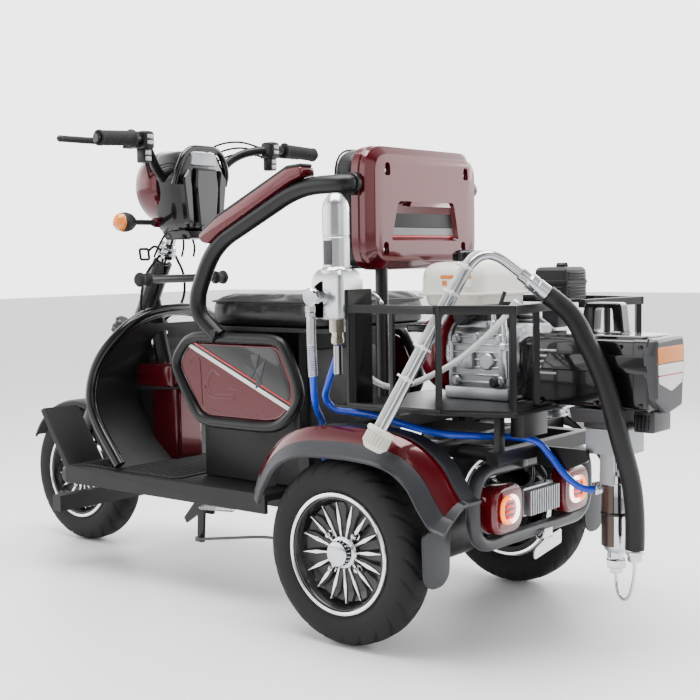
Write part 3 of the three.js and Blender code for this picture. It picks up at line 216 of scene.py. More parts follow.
SUCTION = [
    (-0.7623, 0.1377, 0.6876), (-0.7746, 0.1262, 0.6744), (-0.8030, 0.1160, 0.6460),
    (-0.8300, 0.1140, 0.6000), (-0.8560, 0.1080, 0.5450), (-0.8740, 0.1030, 0.4900),
    (-0.8850, 0.0970, 0.4400), (-0.8930, 0.0840, 0.3900), (-0.8980, 0.0660, 0.3350),
    (-0.8980, 0.0520, 0.2750), (-0.8960, 0.0460, 0.2280), (-0.8950, 0.0450, 0.2050),
]
FEED = [
    (-0.8054, 0.0369, 0.3090), (-0.7946, 0.0458, 0.3090), (-0.7780, 0.0580, 0.3180),
    (-0.7560, 0.0680, 0.3400), (-0.7320, 0.0760, 0.3720), (-0.7080, 0.0880, 0.4000),
    (-0.6720, 0.1060, 0.4070), (-0.6150, 0.1580, 0.4120), (-0.5600, 0.2120, 0.4200),
    (-0.5000, 0.2360, 0.4340), (-0.4300, 0.2410, 0.4480), (-0.3660, 0.2430, 0.4520),
    (-0.3300, 0.2500, 0.4580), (-0.3200, 0.2620, 0.4780), (-0.3340, 0.2720, 0.5060),
    (-0.3560, 0.2790, 0.5450), (-0.3700, 0.2820, 0.5760), (-0.3700, 0.2820, 0.5897),
]
GUN = [
    (-0.3480, 0.3360, 0.6557), (-0.3480, 0.3360, 0.6200), (-0.3470, 0.3340, 0.5700),
    (-0.3420, 0.3260, 0.5220), (-0.3260, 0.3040, 0.4800), (-0.3060, 0.2720, 0.4520),
    (-0.2900, 0.2400, 0.4240), (-0.2760, 0.2200, 0.3800), (-0.2600, 0.1960, 0.3320),
    (-0.2440, 0.1400, 0.3020), (-0.2400, 0.0600, 0.2900), (-0.2400, -0.0600, 0.2880),
    (-0.2360, -0.1400, 0.2880), (-0.2160, -0.2060, 0.2840), (-0.1780, -0.2460, 0.2740),
    (-0.1240, -0.2800, 0.2680), (-0.0820, -0.2920, 0.2580), (-0.0600, -0.2930, 0.2320),
    (-0.0590, -0.2930, 0.2140), (-0.0590, -0.2930, 0.2043),
]
DRAIN = [
    (-0.3950, 0.2620, 0.6254), (-0.3950, 0.2620, 0.6080), (-0.3970, 0.2520, 0.5660),
    (-0.4050, 0.2300, 0.5260), (-0.4240, 0.2200, 0.5100), (-0.4560, 0.2160, 0.5040),
    (-0.4940, 0.2110, 0.5110), (-0.5400, 0.2030, 0.5300), (-0.5900, 0.1900, 0.5580),
    (-0.6400, 0.1780, 0.5980), (-0.6820, 0.1680, 0.6400), (-0.7100, 0.1630, 0.6760),
]
hose("suction_hose", SUCTION, 0.037, hose_cover)
hose("feed_hose", FEED, 0.014, blue_jacket)
hose("gun_hose", GUN, 0.014, blue_jacket)
hose("drain_tube", DRAIN, 0.012, clear_vinyl)

# ------------------------------------------------------------------ wheels
# Three cast alloy rims with a polished lip, a black dished centre and sixteen slim polished blades,
# each carrying an eight inch tyre whose curved grooves run out over the shoulders.
black_enamel = coating("black_enamel", (0.005, 0.005, 0.0055), 0.24, relief=0.02, clear=0.5)
tread_rubber = coating("tread_rubber", (0.012, 0.012, 0.0125), 0.78, grain=260, relief=0.25, drift=0.2)
polished_alloy = coating("polished_alloy", (0.83, 0.83, 0.84), 0.13, metal=1, grain=300, relief=0.01,
                         drift=0.03)
bright_chrome = coating("bright_chrome", (0.62, 0.63, 0.65), 0.07, metal=1, relief=0.0, drift=0.03)


def merged(piece, angle=35):
    """Doubles merged, faces turned out, and shaded smooth up to the given angle."""
    only(piece)
    bpy.ops.object.mode_set(mode="EDIT")
    bpy.ops.mesh.select_all(action="SELECT")
    bpy.ops.mesh.remove_doubles(threshold=0.00002)
    bpy.ops.mesh.normals_make_consistent(inside=False)
    bpy.ops.object.mode_set(mode="OBJECT")
    bpy.ops.object.shade_smooth_by_angle(angle=math.radians(angle))
    return piece


def applied(piece, kind, **settings):
    """A modifier put on with its settings and applied at once."""
    only(piece)
    change = piece.modifiers.new(kind.title(), kind)
    for key, value in settings.items():
        setattr(change, key, value)
    bpy.ops.object.modifier_apply(modifier=change.name)
    return piece


def placed(piece, matrix):
    """The mesh moved to where its piece sits, so that the object stays at the origin."""
    piece.matrix_world = matrix
    only(piece)
    bpy.ops.object.transform_apply(location=True, rotation=True, scale=True)
    return piece


def lathe(profile, centre, axis, steps=48, angle=32):
    """(radius, height) points in millimetres, spun round an axis through a centre given in metres."""
    shape = bpy.data.meshes.new("profile")
    points = [(r / 1000, 0, h / 1000) for r, h in profile]
    shape.from_pydata(points, [(i, i + 1) for i in range(len(points) - 1)], [])
    piece = bpy.data.objects.new("turned", shape)
    bpy.context.scene.collection.objects.link(piece)
    applied(piece, "SCREW", steps=steps, render_steps=steps, use_merge_vertices=True,
            merge_threshold=0.00001)
    turn = Vector(axis).normalized().to_track_quat("Z", "Y").to_matrix().to_4x4()
    placed(piece, Matrix.Translation(Vector(centre)) @ turn)
    return merged(piece, angle)


def corners_rounded(outline, corner, steps=5):
    """A closed outline whose corners become arcs that start `corner` before them."""
    smooth = []
    for i, point in enumerate(outline):
        here = Vector(point)
        before, after = Vector(outline[i - 1]), Vector(outline[(i + 1) % len(outline)])
        start = here.lerp(before, min(corner / max((before - here).length, 1e-6), 0.49))
        end = here.lerp(after, min(corner / max((after - here).length, 1e-6), 0.49))
        for k in range(steps + 1):
            t = k / steps
            smooth.append(start * (1 - t) ** 2 + here * 2 * t * (1 - t) + end * t ** 2)
    return smooth


FACING = {
    "xy": Matrix(((1, 0, 0), (0, 1, 0), (0, 0, 1))),
    "yz": Matrix(((0, 0, 1), (1, 0, 0), (0, 1, 0))),
    "xz": Matrix(((1, 0, 0), (0, 0, -1), (0, 1, 0))),
}


def plate(outline, plane, near, far, corner=0.0, edge=1.0):
    """A flat outline in millimetres, filled between two distances across its plane, with soft edges."""
    curve = bpy.data.curves.new("outline", "CURVE")
    curve.dimensions = "2D"
    curve.fill_mode = "BOTH"
    points = corners_rounded(outline, corner) if corner else [Vector(p) for p in outline]
    spline = curve.splines.new("POLY")
    spline.points.add(len(points) - 1)
    for point, (u, v) in zip(spline.points, points):
        point.co = (u / 1000, v / 1000, 0, 1)
    spline.use_cyclic_u = True
    thick = abs(far - near) / 1000
    edge = min(edge / 1000, thick * 0.45)
    curve.offset = -edge
    curve.bevel_depth = edge
    curve.bevel_resolution = 2
    curve.extrude = thick / 2 - edge
    piece = bpy.data.objects.new("plate", curve)
    bpy.context.scene.collection.objects.link(piece)
    only(piece)
    bpy.ops.object.convert(target="MESH")
    piece = bpy.context.object
    across = (near + far) / 2000 * (-1 if plane == "xz" else 1)
    basis = FACING[plane].to_4x4()
    placed(piece, Matrix.Translation(AXLE) @ basis @ Matrix.Translation((0, 0, across)))
    return merged(piece, 40)


def block(x0, x1, y0, y1, z0, z1, edge=1.5, segments=2):
    """A rectangular body with rounded edges."""
    bpy.ops.mesh.primitive_cube_add(size=1)
    piece = bpy.context.object
    size = Vector((x1 - x0, y1 - y0, z1 - z0)) / 1000
    place = spot((x0 + x1) / 2, (y0 + y1) / 2, (z0 + z1) / 2)
    placed(piece, Matrix.Translation(place) @ Matrix.Diagonal((*size, 1)))
    applied(piece, "BEVEL", width=min(edge / 1000, min(size) * 0.45), segments=segments)
    return merged(piece, 40)


def pipe(points, radius, bend=0.0, closed=False, rings=8):
    """A round tube along straight runs whose corners are arcs; points in millimetres from the axle."""
    count = len(points)
    line = []
    for i, point in enumerate(points):
        here = Vector(point)
        if bend == 0 or (not closed and i in (0, count - 1)):
            line.append(here)
            continue
        before, after = Vector(points[i - 1]), Vector(points[(i + 1) % count])
        start = here.lerp(before, min(bend / (before - here).length, 0.49))
        end = here.lerp(after, min(bend / (after - here).length, 0.49))
        line += [start * (1 - t) ** 2 + here * 2 * t * (1 - t) + end * t ** 2
                 for t in [k / rings for k in range(rings + 1)]]
    curve = bpy.data.curves.new("pipe", "CURVE")
    curve.dimensions = "3D"
    curve.bevel_depth = radius / 1000
    curve.bevel_resolution = 5
    curve.use_fill_caps = True
    spline = curve.splines.new("POLY")
    spline.points.add(len(line) - 1)
    for point, place in zip(spline.points, line):
        point.co = (*spot(*place), 1)
    spline.use_cyclic_u = closed
    piece = bpy.data.objects.new("pipe", curve)
    bpy.context.scene.collection.objects.link(piece)
    only(piece)
    bpy.ops.object.convert(target="MESH")
    return merged(bpy.context.object, 50)


def joined(*pieces):
    """Several bodies of one piece, made one object."""
    only(pieces[0])
    for piece in pieces[1:]:
        piece.select_set(True)
    if len(pieces) > 1:
        bpy.ops.object.join()
    return pieces[0]


def copied(piece, matrix=None):
    """A copy with its own mesh, moved by a matrix; a mirror matrix has its faces turned out again."""
    only(piece)
    bpy.ops.object.duplicate()
    twin = bpy.context.object
    if matrix is not None:
        twin.data.transform(matrix)
        if matrix.determinant() < 0:
            only(twin)
            bpy.ops.object.mode_set(mode="EDIT")
            bpy.ops.mesh.select_all(action="SELECT")
            bpy.ops.mesh.flip_normals()
            bpy.ops.object.mode_set(mode="OBJECT")
    return twin


def ring_of(piece, count, centre, axis):
    """Copies of a body spaced evenly round an axis; the body itself is used up."""
    copies = [copied(piece, turned_about(centre, axis, 360 / count * k)) for k in range(count)]
    bpy.data.objects.remove(piece)
    return copies


def turned_about(centre, axis, degrees):
    there = Matrix.Translation(Vector(centre))
    return there @ Matrix.Rotation(math.radians(degrees), 4, Vector(axis)) @ there.inverted()


ACROSS = Matrix.Diagonal((1, -1, 1, 1))
X_AXIS, Y_AXIS, Z_AXIS = (1, 0, 0), (0, 1, 0), (0, 0, 1)


def fitted(piece, name, body, finish, slot, *nodes):
    """The piece's name, finish and place in the machine: the body it rides on and the nodes it stands for."""
    piece.name = name
    piece.data.name = name
    if finish is not None:
        piece.data.materials.clear()
        piece.data.materials.append(finish)
    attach(piece, body)
    if nodes:
        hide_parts(*nodes)
    return piece


def both_sides(piece, name, body, finish, slot, node=None):
    """A piece of the left side and its mirror copy on the right, each standing for its own node."""
    twin = copied(piece, ACROSS)
    for made, side in ((piece, "_left"), (twin, "_right")):
        fitted(made, name + side, body, finish, slot, *([node + side] if node else []))


def tyre(centre):
    """The carcass is spun from its section, then the grooves are pressed in between the blocks."""
    section = []
    for degrees in np.linspace(-50, 230, 37):
        t = math.radians(degrees)
        wide = 42 * math.copysign(abs(math.cos(t)) ** 0.72, math.cos(t))
        tall = 37 * math.copysign(abs(math.sin(t)) ** 0.8, math.sin(t))
        section.append((148 + tall, wide))
    section = [(112.5, 29)] + section + [(112.5, -29), (112.5, 29)]
    piece = lathe(section, centre, (0, 1, 0), steps=448, angle=60)
    count = len(piece.data.vertices)
    places = np.zeros(count * 3)
    piece.data.vertices.foreach_get("co", places)
    places = places.reshape(-1, 3)
    out = places - np.array(centre)
    radius = np.hypot(out[:, 0], out[:, 2])
    around = np.arctan2(out[:, 2], out[:, 0])
    wide = out[:, 1]
    side = np.where(wide > 0, 0.5, 0.0)
    sweep_back = 1.1 * (np.abs(wide) / 0.042) ** 1.5
    phase = np.mod(around * 24 / (2 * math.pi) + sweep_back + side, 1.0)
    wall = np.clip(1.6 - np.abs(phase - 0.14) / 0.05, 0, 1)
    tread = np.clip((radius - 0.16) / 0.006, 0, 1) * np.clip((np.abs(wide) - 0.006) / 0.003, 0, 1)
    middle_line = np.clip(1 - np.abs(np.abs(wide) - 0.0115) / 0.0022, 0, 1) * (radius > 0.17)
    depth = np.maximum(wall * tread * 0.0045, middle_line * 0.003)
    places[:, 0] -= out[:, 0] / radius * depth
    places[:, 2] -= out[:, 2] / radius * depth
    piece.data.vertices.foreach_set("co", places.ravel())
    piece.data.update()
    return piece


BLADES, NUT_CIRCLE = 16, 0.047


def rim_parts(centre, outer):
    """Lip and barrel, dished centre, blades, cap and nuts of one rim; outer is +1 on a left wheel."""
    axis = (0, outer, 0)
    lip = lathe([(112.3, 31), (113, 36), (114, 40), (117, 41.5), (120.5, 40.5), (122.5, 37), (122, 33.6),
                 (112.3, 33), (112.3, -33), (122, -33.6), (122.5, -37), (118, -40), (113, -39),
                 (111.5, -30), (111.5, 31), (112.3, 31)], centre, axis, 72)
    dish = lathe([(0, 10), (36, 10), (42, 8), (84, 8), (98, 14), (104, 24), (107, 36), (109, 38.5),
                  (112, 38.5), (112, 30), (106, 8), (104, -36), (111, -38), (100, -38), (98, -8), (80, -2),
                  (0, -2)], centre, axis, 72)
    spear = plate([(33, -2.2), (48, -2.4), (66, -4.2), (88, -2.2), (100, -0.7), (101, 0), (100, 0.7),
                   (88, 2.2), (66, 4.2), (48, 2.4), (33, 2.2)], "xz", -3, 3, 0, 1.6)
    spear.data.transform(Matrix.Translation(-AXLE))
    spear.data.transform(Matrix.Translation((0, outer * 0.017, 0)) @ Matrix.Rotation(outer * 0.06, 4, "Z"))
    blades = []
    for k in range(BLADES):
        turn = Matrix.Rotation(math.radians(k * 360 / BLADES + 6), 4, "Y")
        blades.append(copied(spear, Matrix.Translation(centre) @ turn))
    bpy.data.objects.remove(spear)
    nuts = []
    for k in range(4):
        way = math.radians(40 + 90 * k)
        seat = centre + Vector((math.cos(way), 0, math.sin(way))) * NUT_CIRCLE
        nuts.append(lathe([(0, 28), (3, 27.6), (5.8, 25.6), (7, 23), (7, 16), (9.4, 15), (9.4, 9), (0, 9)],
                          seat, axis, 6, 20))
    cap = lathe([(0, 41.6), (20, 41.6), (24, 40), (25.5, 37), (25.5, 24), (31, 22), (33, 19), (33, 9),
                 (0, 9)], centre, axis, 56)
    ring = lathe([(100, 12), (103, 16), (105, 22), (103.5, 22.5), (101, 17), (98, 13), (100, 12)], centre,
                 axis, 72)
    return lip, dish, joined(*blades, ring), joined(cap, *nuts)


for body, end, outer in (("rear_wheel_left", "rear_{}_left", 1), ("rear_wheel_right", "rear_{}_right", -1),
                         ("front_wheel", "front_{}", 1)):
    low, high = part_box(end.format("tyre"))
    hub = (low + high) / 2
    label = end.format("wheel")
    fitted(tyre(hub), label + "_tyre", body, tread_rubber, "tyre", end.format("tyre"))
    lip, dish, blades, cap = rim_parts(hub, outer)
    fitted(lip, label + "_lip", body, polished_alloy, "polished_rim", end.format("rim"))
    fitted(dish, label + "_dish", body, black_enamel, "polished_rim")
    if body == "front_wheel":
        other_face = Matrix.Translation(hub) @ ACROSS @ Matrix.Translation(-hub)
        blades, cap = joined(blades, copied(blades, other_face)), joined(cap, copied(cap, other_face))
    fitted(blades, label + "_blades", body, polished_alloy, "polished_rim")
    fitted(cap, label + "_hub_cap", body, bright_chrome, "polished_rim")

# ------------------------------------------------------------------ rear mudguards
# Each is a grey moulded guard with a maroon metallic band let into it that ends in a straight cut, and
# a rolled lip along its outer edge. A grey flap hangs behind each tyre.
maroon = coating("maroon_metallic", (0.085, 0.0008, 0.005), 0.16, metal=0.35, grain=2200, relief=0.03,
                 drift=0.12, clear=1.0, patch=4)
grey_moulding = coating("grey_moulding", (0.028, 0.029, 0.033), 0.42, grain=1300, relief=0.05, drift=0.1)

ARCH = [(198, 262), (180, 302), (148, 342), (100, 366), (30, 374), (-60, 374), (-130, 364), (-176, 336),
        (-206, 294), (-232, 264), (-262, 254)]
GUARD_SECTION = [(250, 56), (292, 57), (296, 54), (299, 57), (309, 56), (321, 46), (329, 33), (331, 29),
                 (336, 31), (346, 22), (351, 10), (354, 6), (357, 4), (357, 1), (354, -1), (348, 0),
                 (345, 8), (334, 22), (317, 40), (304, 50), (250, 50)]
MAROON_STRIPS, GREY_ENDS, STATIONS_PER_SPAN = range(3, 7), 5, 6


def through(points, per_span):
    """A smooth line through points, by the usual four-point blend."""
    p = [np.array(q, float) for q in points]
    p = [2 * p[0] - p[1]] + p + [2 * p[-1] - p[-2]]
    line = []
    for i in range(1, len(p) - 2):
        for k in range(per_span):
            t = k / per_span
            line.append(0.5 * (2 * p[i] + (p[i + 1] - p[i - 1]) * t
                               + (2 * p[i - 1] - 5 * p[i] + 4 * p[i + 1] - p[i + 2]) * t * t
                               + (3 * p[i] - p[i - 1] - 3 * p[i + 1] + p[i + 2]) * t ** 3))
    return line + [p[-2]]


def swept(stations, section):
    """A closed section carried along a line in the X-Z plane and closed at both ends."""
    places, faces = [], []
    count = len(section)
    for i, here in enumerate(stations):
        before, after = stations[max(i - 1, 0)], stations[min(i + 1, len(stations) - 1)]
        along = (after - before) / np.linalg.norm(after - before)
        for y, rise in section:
            places.append(spot(here[0] + along[1] * rise, y, here[1] - along[0] * rise))
    for i in range(len(stations) - 1):
        for k in range(count):
            a, b = i * count + k, i * count + (k + 1) % count
            faces.append((a, b, b + count, a + count))
    faces += [tuple(range(count)), tuple(range(len(places) - 1, len(places) - 1 - count, -1))]
    shape = bpy.data.meshes.new("swept")
    shape.from_pydata(places, [], faces)
    piece = bpy.data.objects.new("swept", shape)
    bpy.context.scene.collection.objects.link(piece)
    return merged(piece, 28)


guard = swept(through(ARCH, STATIONS_PER_SPAN), GUARD_SECTION)
rows = STATIONS_PER_SPAN * (len(ARCH) - 1)
bands = [int(strip in MAROON_STRIPS and GREY_ENDS <= row < rows - GREY_ENDS)
         for row in range(rows) for strip in range(len(GUARD_SECTION))]
guard.data.materials.append(grey_moulding)
guard.data.materials.append(maroon)
guard.data.polygons.foreach_set("material_index", bands + [0, 0])
flap = plate([(258, 255), (348, 250), (344, 160), (322, 142), (284, 142), (262, 160)], "yz", -212, -208,
             14, 1)
for side, shell, hanging in (("left", guard, flap), ("right", copied(guard, ACROSS), copied(flap, ACROSS))):
    fitted(shell, f"rear_mudguard_{side}", "chassis", None, "maroon_gloss", f"rear_fender_{side}")
    fitted(hanging, f"mud_flap_{side}", "chassis", grey_moulding, "grey_satin")

# ------------------------------------------------------------------ tail guard and lamps
# One bent tube in grey satin paint round two lamps, hung on two straps, with a finned regulator on the
# strip between them and a plated number plate holder under it.
grey_satin = coating("grey_satin_paint", (0.04, 0.041, 0.045), 0.36, metal=0.3, grain=1500, relief=0.03)
cast_alloy = coating("cast_alloy", (0.4, 0.41, 0.43), 0.36, metal=0.85, grain=420, relief=0.16, drift=0.16)
dark_red_lens = coating("dark_red_lens", (0.13, 0.002, 0.006), 0.06, relief=0.0, clear=1.0, drift=0.2,
                        patch=30)


def glowing(name, colour, strength):
    look = coating(name, colour, 0.2, relief=0.0, clear=0.8)
    shader = look.node_tree.nodes["Principled BSDF"]
    shader.inputs["Emission Color"].default_value = (*colour, 1)
    shader.inputs["Emission Strength"].default_value = strength
    return look


white_glow = glowing("white_glow", (1.0, 0.8, 0.76), 4.5)
amber_glow = glowing("amber_glow", (1.0, 0.2, 0.01), 2.2)
red_glow = glowing("red_glow", (0.85, 0.03, 0.03), 0.7)

TAIL_X = -236
loop = pipe([(TAIL_X, -218, 203), (TAIL_X, 218, 203), (TAIL_X, 218, 349), (TAIL_X, -218, 349)], 14, 62,
            True)
strip = block(-222, -216, -212, 212, 256, 284, 1)
straps = [block(-262, -242, y - 9, y + 9, 345, 365, 1) for y in (70, -70)]
sides = [block(-238, -217, y - 5, y + 5, 256, 284, 1) for y in (208, -208)]
holder = plate([(-72, 166), (34, 150), (34, 172), (-12, 188), (-72, 196)], "yz", -261, -257, 5, 1)
hook = block(-261, -240, -36, -4, 184, 206, 1)
fitted(joined(loop, strip, *straps, *sides), "tail_guard_tube", "chassis", grey_satin, "grey_satin",
       "tail_guard")
fitted(joined(holder, hook), "plate_holder", "chassis", bright_chrome, "chrome")

regulator = [block(-246, -223, -66, 52, 238, 296, 3)]
regulator += [block(-262, -244, -62 + 9 * k, -58 + 9 * k, 242, 292, 0.8) for k in range(13)]
fitted(joined(*regulator), "regulator", "chassis", cast_alloy, "cast_alloy")
wires = [pipe([(-240, y, 296), (-252, y * 0.7, 312), (-244, y * 0.4, 334)], 2.4, 10) for y in (44, 30, -40)]
fitted(joined(*wires), "lamp_wires", "chassis", black_enamel, "gloss_black")


LAMP_Y, LAMP_Z, LAMP_FACE = 133, 270, -264
C_BAND = ((0.9, 23), (0.35, 25), (-0.2, 17), (-0.35, 0), (-0.2, -17), (0.35, -25), (0.9, -23))


def about_lamp(half_width, half_height):
    return [(LAMP_Y + s * half_width, LAMP_Z + t * half_height) for s,
            t in ((-1, -1), (1, -1), (1, 1), (-1, 1))]


# Lens body and its rim, the two glowing C bands and the bars between them.
lens = plate(about_lamp(52, 48), "yz", LAMP_FACE, -223, 34, 9)
rim = pipe([(LAMP_FACE + 3, *p) for p in corners_rounded(about_lamp(46, 42), 30, 4)], 3, 0, True)
white, amber = [pipe([(LAMP_FACE - 1, LAMP_Y + way * (s * 26 - 20), LAMP_Z + t) for s, t in C_BAND], 4.6, 8)
                for way in (1, -1)]
bars = [block(LAMP_FACE - 2.5, LAMP_FACE + 1, LAMP_Y - 14, LAMP_Y + 14, z - 3, z + 3, 1)
        for z in (254, 265, 276, 287)]
for piece, word, look in ((joined(lens, rim), "lens", dark_red_lens), (white, "white_band", white_glow),
                          (amber, "amber_band", amber_glow), (joined(*bars), "red_bars", red_glow)):
    twin = copied(piece, ACROSS)
    for made, side in ((piece, "left"), (twin, "right")):
        nodes = [f"tail_lamp_{side}"] if word == "lens" else []
        fitted(made, f"tail_lamp_{side}_{word}", "chassis", look, "lamp_red", *nodes)

# ------------------------------------------------------------------ frame, deck and guards
# Welded steel tube and plate under black powder coat, with every sawn edge broken before painting.
black_coat = coating("black_powder_coat", (0.006, 0.006, 0.0065), 0.33, grain=1600, relief=0.05, drift=0.15)


def dressed(node, edge=1.2, angle=48):
    """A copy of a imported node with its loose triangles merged, its edges broken and its bends smoothed."""
    packed = frame["nodes"][node]
    piece = packed.copy()
    piece.data = packed.data.copy()
    for key in list(piece.keys()):
        del piece[key]
    piece.parent = None
    bpy.context.scene.collection.objects.link(piece)
    merged(piece)
    bpy.ops.object.mode_set(mode="EDIT")
    bpy.ops.mesh.select_all(action="SELECT")
    bpy.ops.mesh.dissolve_limited(angle_limit=math.radians(1))
    bpy.ops.object.mode_set(mode="OBJECT")
    if edge:
        applied(piece, "BEVEL", width=edge / 1000, segments=2, limit_method="ANGLE",
                angle_limit=math.radians(58))
    bpy.ops.object.shade_smooth_by_angle(angle=math.radians(angle))
    return piece


def dressed_as(node, name, look, body="chassis", edge=1.2):
    return fitted(dressed(node, edge), name, body, look, slot_of[node], node)


slot_of = {row["node"]: row["material_slot"] for row in frame["record"]["subparts"]}
dressed_as("frame", "main_frame", black_coat)
dressed_as("cage_left", "guard_bars_left", black_coat, edge=1)
dressed_as("cage_right", "guard_bars_right", black_coat, edge=1)
dressed_as("deck_plate", "deck_sheet", black_coat, edge=1)
dressed_as("brake_pedal", "foot_brake", black_coat, "pedal", edge=0.8)
dressed_as("rear_axle", "axle_and_motor", black_coat, edge=2)
dressed_as("spray_gun", "gun_and_bracket", cast_alloy)

# ------------------------------------------------------------------ side frames, panels and armrests
# Each side has a closed tube loop round a glossy maroon panel, with an armrest tube that rises from the
# loop, runs back under a two-part pad and bolts to the backrest.
LOOP = [(571, 552), (534, 588), (268, 588), (246, 576), (204, 492), (206, 452), (256, 404), (300, 396),
        (482, 396), (516, 410), (580, 508), (582, 530)]
dark_gloss = coating("dark_gloss_panel", (0.005, 0.005, 0.006), 0.16, relief=0.02, clear=0.9, drift=0.3,
                     patch=16)
white_film = coating("white_film", (0.78, 0.78, 0.76), 0.3, relief=0.02)
red_film = coating("red_film", (0.5, 0.006, 0.01), 0.25, relief=0.02, clear=0.5)
grey_plastic = coating("dark_grey_plastic", (0.016, 0.016, 0.018), 0.5, grain=700, relief=0.12)


def shrunk(outline, distance):
    """A closed outline with every side moved inwards by the same distance."""
    count = len(outline)
    area = sum(outline[i - 1][0] * outline[i][1] - outline[i][0] * outline[i - 1][1] for i in range(count))
    way = 1 if area > 0 else -1
    moved = []
    for i in range(count):
        a, b = Vector(outline[i - 1]), Vector(outline[i])
        c = Vector(outline[(i + 1) % count])
        first, second = (b - a).normalized(), (c - b).normalized()
        inward = [Vector((-d.y, d.x)) * way for d in (first, second)]
        bisector = inward[0] + inward[1]
        moved.append(b + bisector * (distance / max(bisector.dot(inward[0]), 0.2)))
    return [tuple(p) for p in moved]


def layered(outline, plane, corner, levels, steps=6, angle=30):
    """Rings of one outline at several distances across its plane, each drawn in by its own amount."""
    basis = FACING[plane]
    rings = []
    for across, drawn_in in levels:
        smaller = shrunk(outline, drawn_in) if drawn_in else outline
        for u, v in corners_rounded(smaller, max(corner - drawn_in, 0.4), steps):
            flat = Vector((u, v, -across if plane == "xz" else across))
            rings.append(tuple(AXLE + basis @ flat / 1000))
    count = len(rings) // len(levels)
    faces = [(s * count + i, s * count + (i + 1) % count, (s + 1) * count + (i + 1) % count,
              (s + 1) * count + i) for s in range(len(levels) - 1) for i in range(count)]
    faces += [tuple(range(count)), tuple(range(len(rings) - 1, len(rings) - 1 - count, -1))]
    shape = bpy.data.meshes.new("layered")
    shape.from_pydata(rings, [], faces)
    piece = bpy.data.objects.new("layered", shape)
    bpy.context.scene.collection.objects.link(piece)
    return merged(piece, angle)


def less(piece, *cutters):
    """The piece with other bodies cut out of it; the cutters are used up."""
    for cutter in cutters:
        applied(piece, "BOOLEAN", object=cutter, operation="DIFFERENCE", solver="EXACT")
        bpy.data.objects.remove(cutter)
    return merged(piece, 30)


def screw(x, y, z, axis, radius=5.0):
    """A pan head, domed a little."""
    return lathe([(0, 2.4), (radius * 0.5, 2.2), (radius * 0.9, 1.2), (radius, 0), (radius, -2), (0, -2)],
                 spot(x, y, z), axis, 16)


side_loop = pipe([(x, 215, z) for x, z in LOOP], 12, 40, True, 6)
arm = pipe([(438, 219, 590), (507, 230, 652), (436, 230, 792), (179, 230, 910), (60, 230, 911),
            (60, 198.5, 911)], 19, 60, False, 10)
foot = [pipe([(438, 210, 596), (470, 210, 588), (520, 212, 590)], 7, 10),
        lathe([(0, 8), (9, 8), (10, 6), (10, -6), (0, -8)], spot(438, 232, 598), Y_AXIS, 20)]
collar = lathe([(18.5, 7), (22, 7), (23, 5), (23, -5), (22, -7), (18.5, -7), (18.5, 7)], spot(60, 206, 911),
               Y_AXIS, 32)
both_sides(joined(side_loop, arm, *foot, collar), "side_tube", "chassis", black_coat, "black_paint",
           "side_frame")

panel = layered(shrunk(LOOP, 13), "xz", 14, [(206, 1), (208, 0), (212, 0), (214, 2.4)])
lip = pipe([(x, 213, z) for x, z in corners_rounded(shrunk(LOOP, 17), 14, 3)], 1.8, 0, True)
both_sides(joined(panel, lip), "side_panel_moulding", "chassis", maroon, "maroon_gloss", "side_panel")
STRIPE = [Vector((552, 574)), Vector((228, 438))]
run = (STRIPE[1] - STRIPE[0]).normalized()
above = Vector((run.y, -run.x))


def stripe(low, high, start=0.0, stop=0.0):
    """A band along the stripe's line, between two heights above it and cut short at its ends."""
    first, last = STRIPE[0] + run * start, STRIPE[1] - run * stop
    return [first + above * low, last + above * low, last + above * high, first + above * high]


dark = [(500, 570), (282, 570), (266, 560), (233, 494), (231, 470), (240, 456)]
for name, outline, near, far, corner, edge, look, slot in (
        ("side_panel_dark", dark, 213.4, 215, 5, 0.7, dark_gloss, "gloss_black"),
        ("side_stripe_white", stripe(-4.5, 4.5), 213.6, 215.4, 0, 0.3, white_film, "maroon_gloss"),
        ("side_stripe_gap", stripe(4.5, 10), 213.5, 214.9, 0, 0.3, black_enamel, "gloss_black"),
        ("side_stripe_red", stripe(10, 13.5, 18, 4), 213.6, 215.6, 0, 0.3, red_film, "maroon_gloss")):
    both_sides(plate(outline, "xz", near, far, corner, edge), name, "chassis", look, slot)
SKIN_Y = 213.8
ribs = [pipe([(x, SKIN_Y, z) for x, z in line], radius, bend) for radius, bend, line in (
    (1.5, 12, [(540, 524), (528, 548), (505, 540), (500, 430), (440, 420), (330, 420)]),
    (1.7, 6, [(400, 452), (470, 452), (492, 476), (466, 516), (440, 500)]),
    (1.2, 5, [(470, 506), (482, 478), (462, 460), (396, 462)]),
    (1.3, 0, [(420, 476), (372, 472)]))]
both_sides(joined(*ribs), "side_panel_ribs", "chassis", maroon, "maroon_gloss")
emblem = [plate([(330, 520), *ends], "xz", 214.6, 216, 0, 0.4) for ends in (
    [(300, 545), (316, 500)], [(362, 534), (344, 500)], [(332, 478), (312, 492)], [(346, 552), (318, 556)])]
both_sides(joined(*emblem), "side_panel_facets", "chassis", grey_satin, "grey_satin")

PAD_SIDE = [(456, 800), (464, 816), (410, 850), (200, 947), (158, 950), (156, 930), (194, 918), (398, 820),
            (434, 796)]
PAD_TOP = [(452, 822), (458, 828), (412, 857), (202, 953.5), (160, 956), (158, 949), (200, 945), (406, 848)]
pad = layered(PAD_SIDE, "xz", 8, [(207, 5), (208.5, 1.5), (212, 0), (248, 0), (251.5, 1.5), (253, 5)])
both_sides(pad, "arm_pad_skirt", "chassis", maroon, "maroon_gloss", "arm_pad")
strip = layered(PAD_TOP, "xz", 4, [(213, 2.5), (214.5, 0), (245.5, 0), (247, 2.5)])
both_sides(strip, "arm_pad_top", "chassis", grey_plastic, "black_plastic")

